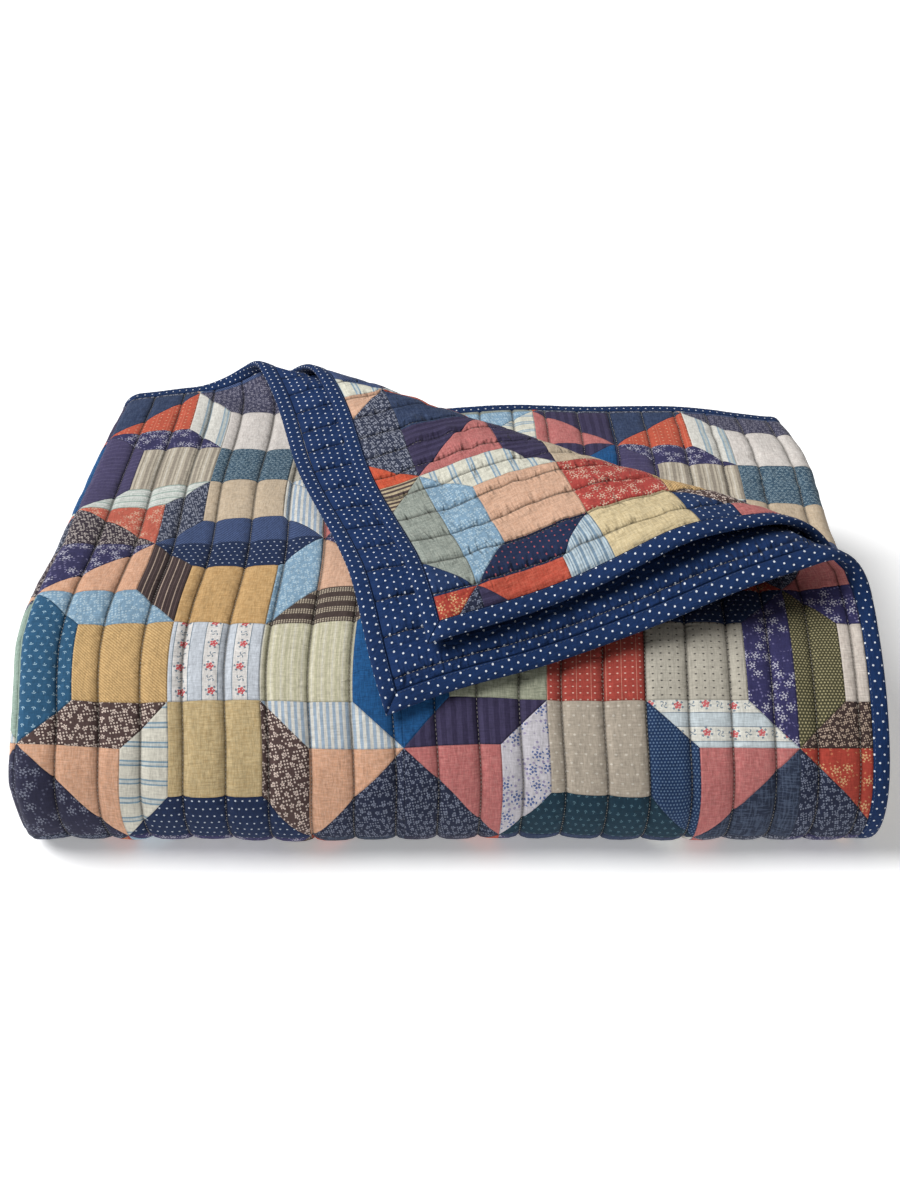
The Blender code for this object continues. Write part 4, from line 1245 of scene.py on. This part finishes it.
# Stitches
STITCH_PITCH = 0.0029
STITCH_LENGTH = 0.0018
THREAD_WIDTH = 0.00042
LINE_STEP = 0.0040
STITCH_INSET = 0.002
THREAD_LIFT = 0.00012                # a thread lies on the cloth by this


def shown_line(across, along, side):
    """Which points of a sewn line show: on the top, the left fold or the turned corner."""
    past = past_corner_line(across, along)
    first = across <= ACROSS_LIMITS["fourth layer"][0]
    second = across >= ACROSS_LIMITS["second layer"][0]
    third = (across >= ACROSS_LIMITS["right fold"][0]) & ~second
    if side > 0:
        return (first & (past < 0.0) & (along < FRONT_SEEN)) | (second & (past > 0.0)) | (
            third & (past > -0.01))
    return (across <= ACROSS_LIMITS["first layer"][1]) & (past > 1.5 * PATCH)


def sewn_lines(kind):
    """Lines of stitches: lists of (across, along, height) arrays."""
    lines = []
    inset = QUILT_RIM + STITCH_INSET
    along = np.arange(inset, FRONT_SEEN + 0.03, LINE_STEP)
    if kind == "quilting":
        count = int((QUILT_WIDTH - 2 * inset - FIRST_CHANNEL) / CHANNEL_WIDTH) + 1
        for number in range(count):
            across = np.full_like(along, FIRST_CHANNEL + number * CHANNEL_WIDTH)
            for side in (1, -1):
                height = side * (half_thickness(across, along, side) + THREAD_LIFT)
                lines.append((across, along, height, shown_line(across, along, side)))
        return lines
    sewn = BINDING_SEWN_AT * BINDING_WIDTH
    for side in (1, -1):
        half = side * (binding_half(np.full_like(along, BINDING_SEWN_AT), along) + THREAD_LIFT)
        for place in (sewn, QUILT_WIDTH - sewn):
            across = np.full_like(along, place)
            lines.append((across, along, half, shown_line(across, along, side)))
        across = np.arange(sewn + 0.001, QUILT_WIDTH - sewn, LINE_STEP)
        ends = np.full_like(across, sewn)
        half = side * (binding_half(np.full_like(across, BINDING_SEWN_AT), across) + THREAD_LIFT)
        lines.append((across, ends, half, shown_line(across, ends, side)))
    return lines


def line_mesh(name, lines):
    """The shown stretches of the sewn lines, as edges that know which way is out."""
    points = []
    outs = []
    edges = []
    for across, along, height, shown in lines:
        here = quilt_points(across, along, height)
        lower = quilt_points(across, along, height * 0.5)
        out = here - lower
        out /= np.linalg.norm(out, axis=1)[:, None]
        previous = None
        for place in range(len(across)):
            if not shown[place]:
                previous = None
                continue
            points.append(here[place])
            outs.append(out[place])
            if previous is not None:
                edges.append((previous, len(points) - 1))
            previous = len(points) - 1
    mesh = bpy.data.meshes.new(name)
    mesh.from_pydata(np.array(points).tolist(), edges, [])
    attribute = mesh.attributes.new("out", "FLOAT_VECTOR", "POINT")
    attribute.data.foreach_set("vector", np.array(outs).ravel())
    return mesh


def stitch_tree():
    """Geometry Nodes: a short thread on every step of a sewn line, lying along it."""
    tree = bpy.data.node_groups.new("stitches along lines", "GeometryNodeTree")
    sides = tree.interface
    sides.new_socket("Geometry", in_out="INPUT", socket_type="NodeSocketGeometry")
    for name, kind in (("Stitch spacing", "NodeSocketFloat"), ("Stitch length", "NodeSocketFloat"),
                       ("Thread width", "NodeSocketFloat"), ("Thread", "NodeSocketMaterial")):
        sides.new_socket(name, in_out="INPUT", socket_type=kind)
    sides.new_socket("Geometry", in_out="OUTPUT", socket_type="NodeSocketGeometry")

    def node(kind, inputs=None, **settings):
        made = tree.nodes.new(kind)
        for key, value in settings.items():
            setattr(made, key, value)
        for key, value in (inputs or {}).items():
            fill(tree, made.inputs[key], value)
        return made

    start = node("NodeGroupInput")
    line = node("GeometryNodeMeshToCurve", {0: start.outputs[0]})
    steps = node("GeometryNodeResampleCurve", {"Curve": line.outputs[0]})
    set_resample_by_length(steps)
    fill(tree, steps.inputs["Length"], start.outputs["Stitch spacing"])
    size = node("ShaderNodeCombineXYZ", {0: start.outputs["Stitch length"],
                                         1: start.outputs["Thread width"],
                                         2: start.outputs["Thread width"]})
    bead = node("GeometryNodeMeshUVSphere", {"Segments": 4, "Rings": 4, "Radius": 0.5})
    lying = node("GeometryNodeTransform", {"Geometry": bead.outputs[0],
                                           "Rotation": (0.0, math.pi / 2, 0.0)})
    tangent = node("GeometryNodeInputTangent")
    out = node("GeometryNodeInputNamedAttribute", {"Name": "out"}, data_type="FLOAT_VECTOR")
    along = node("FunctionNodeAlignRotationToVector", {"Vector": tangent.outputs[0]}, axis="X")
    faced = node("FunctionNodeAlignRotationToVector",
                 {"Rotation": along.outputs[0], "Vector": out.outputs[0]}, axis="Z", pivot_axis="X")
    placed = node("GeometryNodeInstanceOnPoints", {
        "Points": steps.outputs[0], "Instance": lying.outputs[0],
        "Rotation": faced.outputs[0], "Scale": size.outputs[0]})
    real = node("GeometryNodeRealizeInstances", {0: placed.outputs[0]})
    dyed = node("GeometryNodeSetMaterial", {
        0: real.outputs[0], "Material": start.outputs["Thread"]})
    node("NodeGroupOutput", {0: dyed.outputs[0]})
    return tree


def set_resample_by_length(node):
    """Resample by length, whether Blender keeps that as a setting or as a socket."""
    if hasattr(node, "mode"):
        node.mode = "LENGTH"
    else:
        node.inputs["Mode"].default_value = "Length"


def stitches(name, lines, tree, material):
    """Run the stitch tree on a mesh of lines and keep the result as a plain mesh."""
    guide = bpy.data.objects.new(name + "_line", line_mesh(name + "_line", lines))
    bpy.context.scene.collection.objects.link(guide)
    modifier = guide.modifiers.new("stitches", "NODES")
    modifier.node_group = tree
    values = {"Stitch spacing": STITCH_PITCH, "Stitch length": STITCH_LENGTH,
              "Thread width": THREAD_WIDTH, "Thread": material}
    for item in tree.interface.items_tree:
        if item.item_type == "SOCKET" and item.in_out == "INPUT" and item.name in values:
            modifier[item.identifier] = values[item.name]
    graph = bpy.context.evaluated_depsgraph_get()
    mesh = bpy.data.meshes.new_from_object(guide.evaluated_get(graph), depsgraph=graph)
    bpy.data.objects.remove(guide, do_unlink=True)
    mesh.name = name
    if not mesh.materials:
        mesh.materials.append(material)
    return place_piece(name, mesh)


# Pieces
def place_piece(name, mesh, *materials):
    for material in materials:
        mesh.materials.append(material)
    piece = bpy.data.objects.new(name, mesh)
    bpy.context.scene.collection.objects.link(piece)
    return piece


pin_dots = pin_dot_cloth("navy pin dot reverse", NAVY, quilted=True)
binding_dots = pin_dot_cloth("navy pin dot binding", BINDING_NAVY, quilted=False)
quilt = place_piece("quilt_cloth", quilt_mesh(), patchwork_cloth(), pin_dots)
bindings = {}
for node_name, runs_along, far in (
        ("binding_side_top", True, False), ("binding_side_inner", True, True),
        ("binding_end_top", False, False), ("binding_end_inner", False, True)):
    piece_name = node_name + "_cloth"
    bindings[node_name] = place_piece(
        piece_name, binding_strip(piece_name, runs_along, far), binding_dots)
tree = stitch_tree()
quilting = stitches("quilting_stitches", sewn_lines("quilting"), tree,
                    thread("quilting thread", QUILTING_THREAD))
binding_sewing = stitches("binding_stitches", sewn_lines("binding"), tree,
                          thread("binding thread", BINDING_THREAD))

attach(quilt, "root")
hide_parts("quilt")
for node_name, piece in bindings.items():
    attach(piece, "root")
    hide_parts(node_name)
for piece, slot in ((quilting, "patchwork"), (binding_sewing, "binding")):
    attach(piece, "root")


# Floor, light and camera
WHITE = (1.0, 1.0, 1.0, 1.0)
FLOOR_REACH = 12.0                   # wide enough that its edge is out of the photo's view
FLOOR_GLOW = 0.30
KEY_PLACE = (-1.20, -0.05, 1.35)
KEY_SPREAD = 38.0
KEY_STRENGTH = 3.75
WORLD_STRENGTH = 0.20
CAMERA_PLACE = (0.0, -1.0272, 0.7456)
CAMERA_PITCH = 33.5
FOCAL_PIXELS = 1591.0                # solved from the photo, whose height is the next value
PHOTO_HEIGHT = 1200.0
SENSOR = 36.0


def pale_floor():
    work = bmesh.new()
    bmesh.ops.create_grid(work, x_segments=1, y_segments=1, size=FLOOR_REACH)
    mesh = bpy.data.meshes.new("floor")
    work.to_mesh(mesh)
    work.free()
    finish = Finish("pale floor", 0.9, 0.0)
    place = finish.node("TexCoord").outputs["Object"]
    tone = finish.noise(place, 3.0) * 0.02 + 0.93
    finish.set("Base Color", finish.joined(tone, tone, tone))
    finish.set("Emission Color", WHITE)
    finish.set("Emission Strength", FLOOR_GLOW)
    return place_piece("floor", mesh, finish.material)


def soft_light(name, place, spread, strength):
    """A wide even light from the direction of a place, as through a large window."""
    lamp = bpy.data.lights.new(name, "SUN")
    lamp.angle = math.radians(spread)
    lamp.energy = strength
    holder = bpy.data.objects.new(name, lamp)
    bpy.context.scene.collection.objects.link(holder)
    holder.location = place
    holder.rotation_euler = (
        math.atan2(math.hypot(place[0], place[1]), place[2]), 0.0, math.atan2(place[0], -place[1]))
    return holder


pale_floor()
soft_light("key", KEY_PLACE, KEY_SPREAD, KEY_STRENGTH)
world = bpy.data.worlds.new("studio")
world.use_nodes = True
background = world.node_tree.nodes["Background"]
background.inputs["Color"].default_value = WHITE
background.inputs["Strength"].default_value = WORLD_STRENGTH
bpy.context.scene.world = world
bpy.context.scene.view_settings.view_transform = "Standard"

lens = bpy.data.cameras.new("camera")
lens.lens = FOCAL_PIXELS / PHOTO_HEIGHT * SENSOR
lens.sensor_width = SENSOR
camera = bpy.data.objects.new("camera", lens)
bpy.context.scene.collection.objects.link(camera)
camera.location = CAMERA_PLACE
camera.rotation_euler = (math.radians(90.0 - CAMERA_PITCH), 0.0, 0.0)
bpy.context.scene.camera = camera
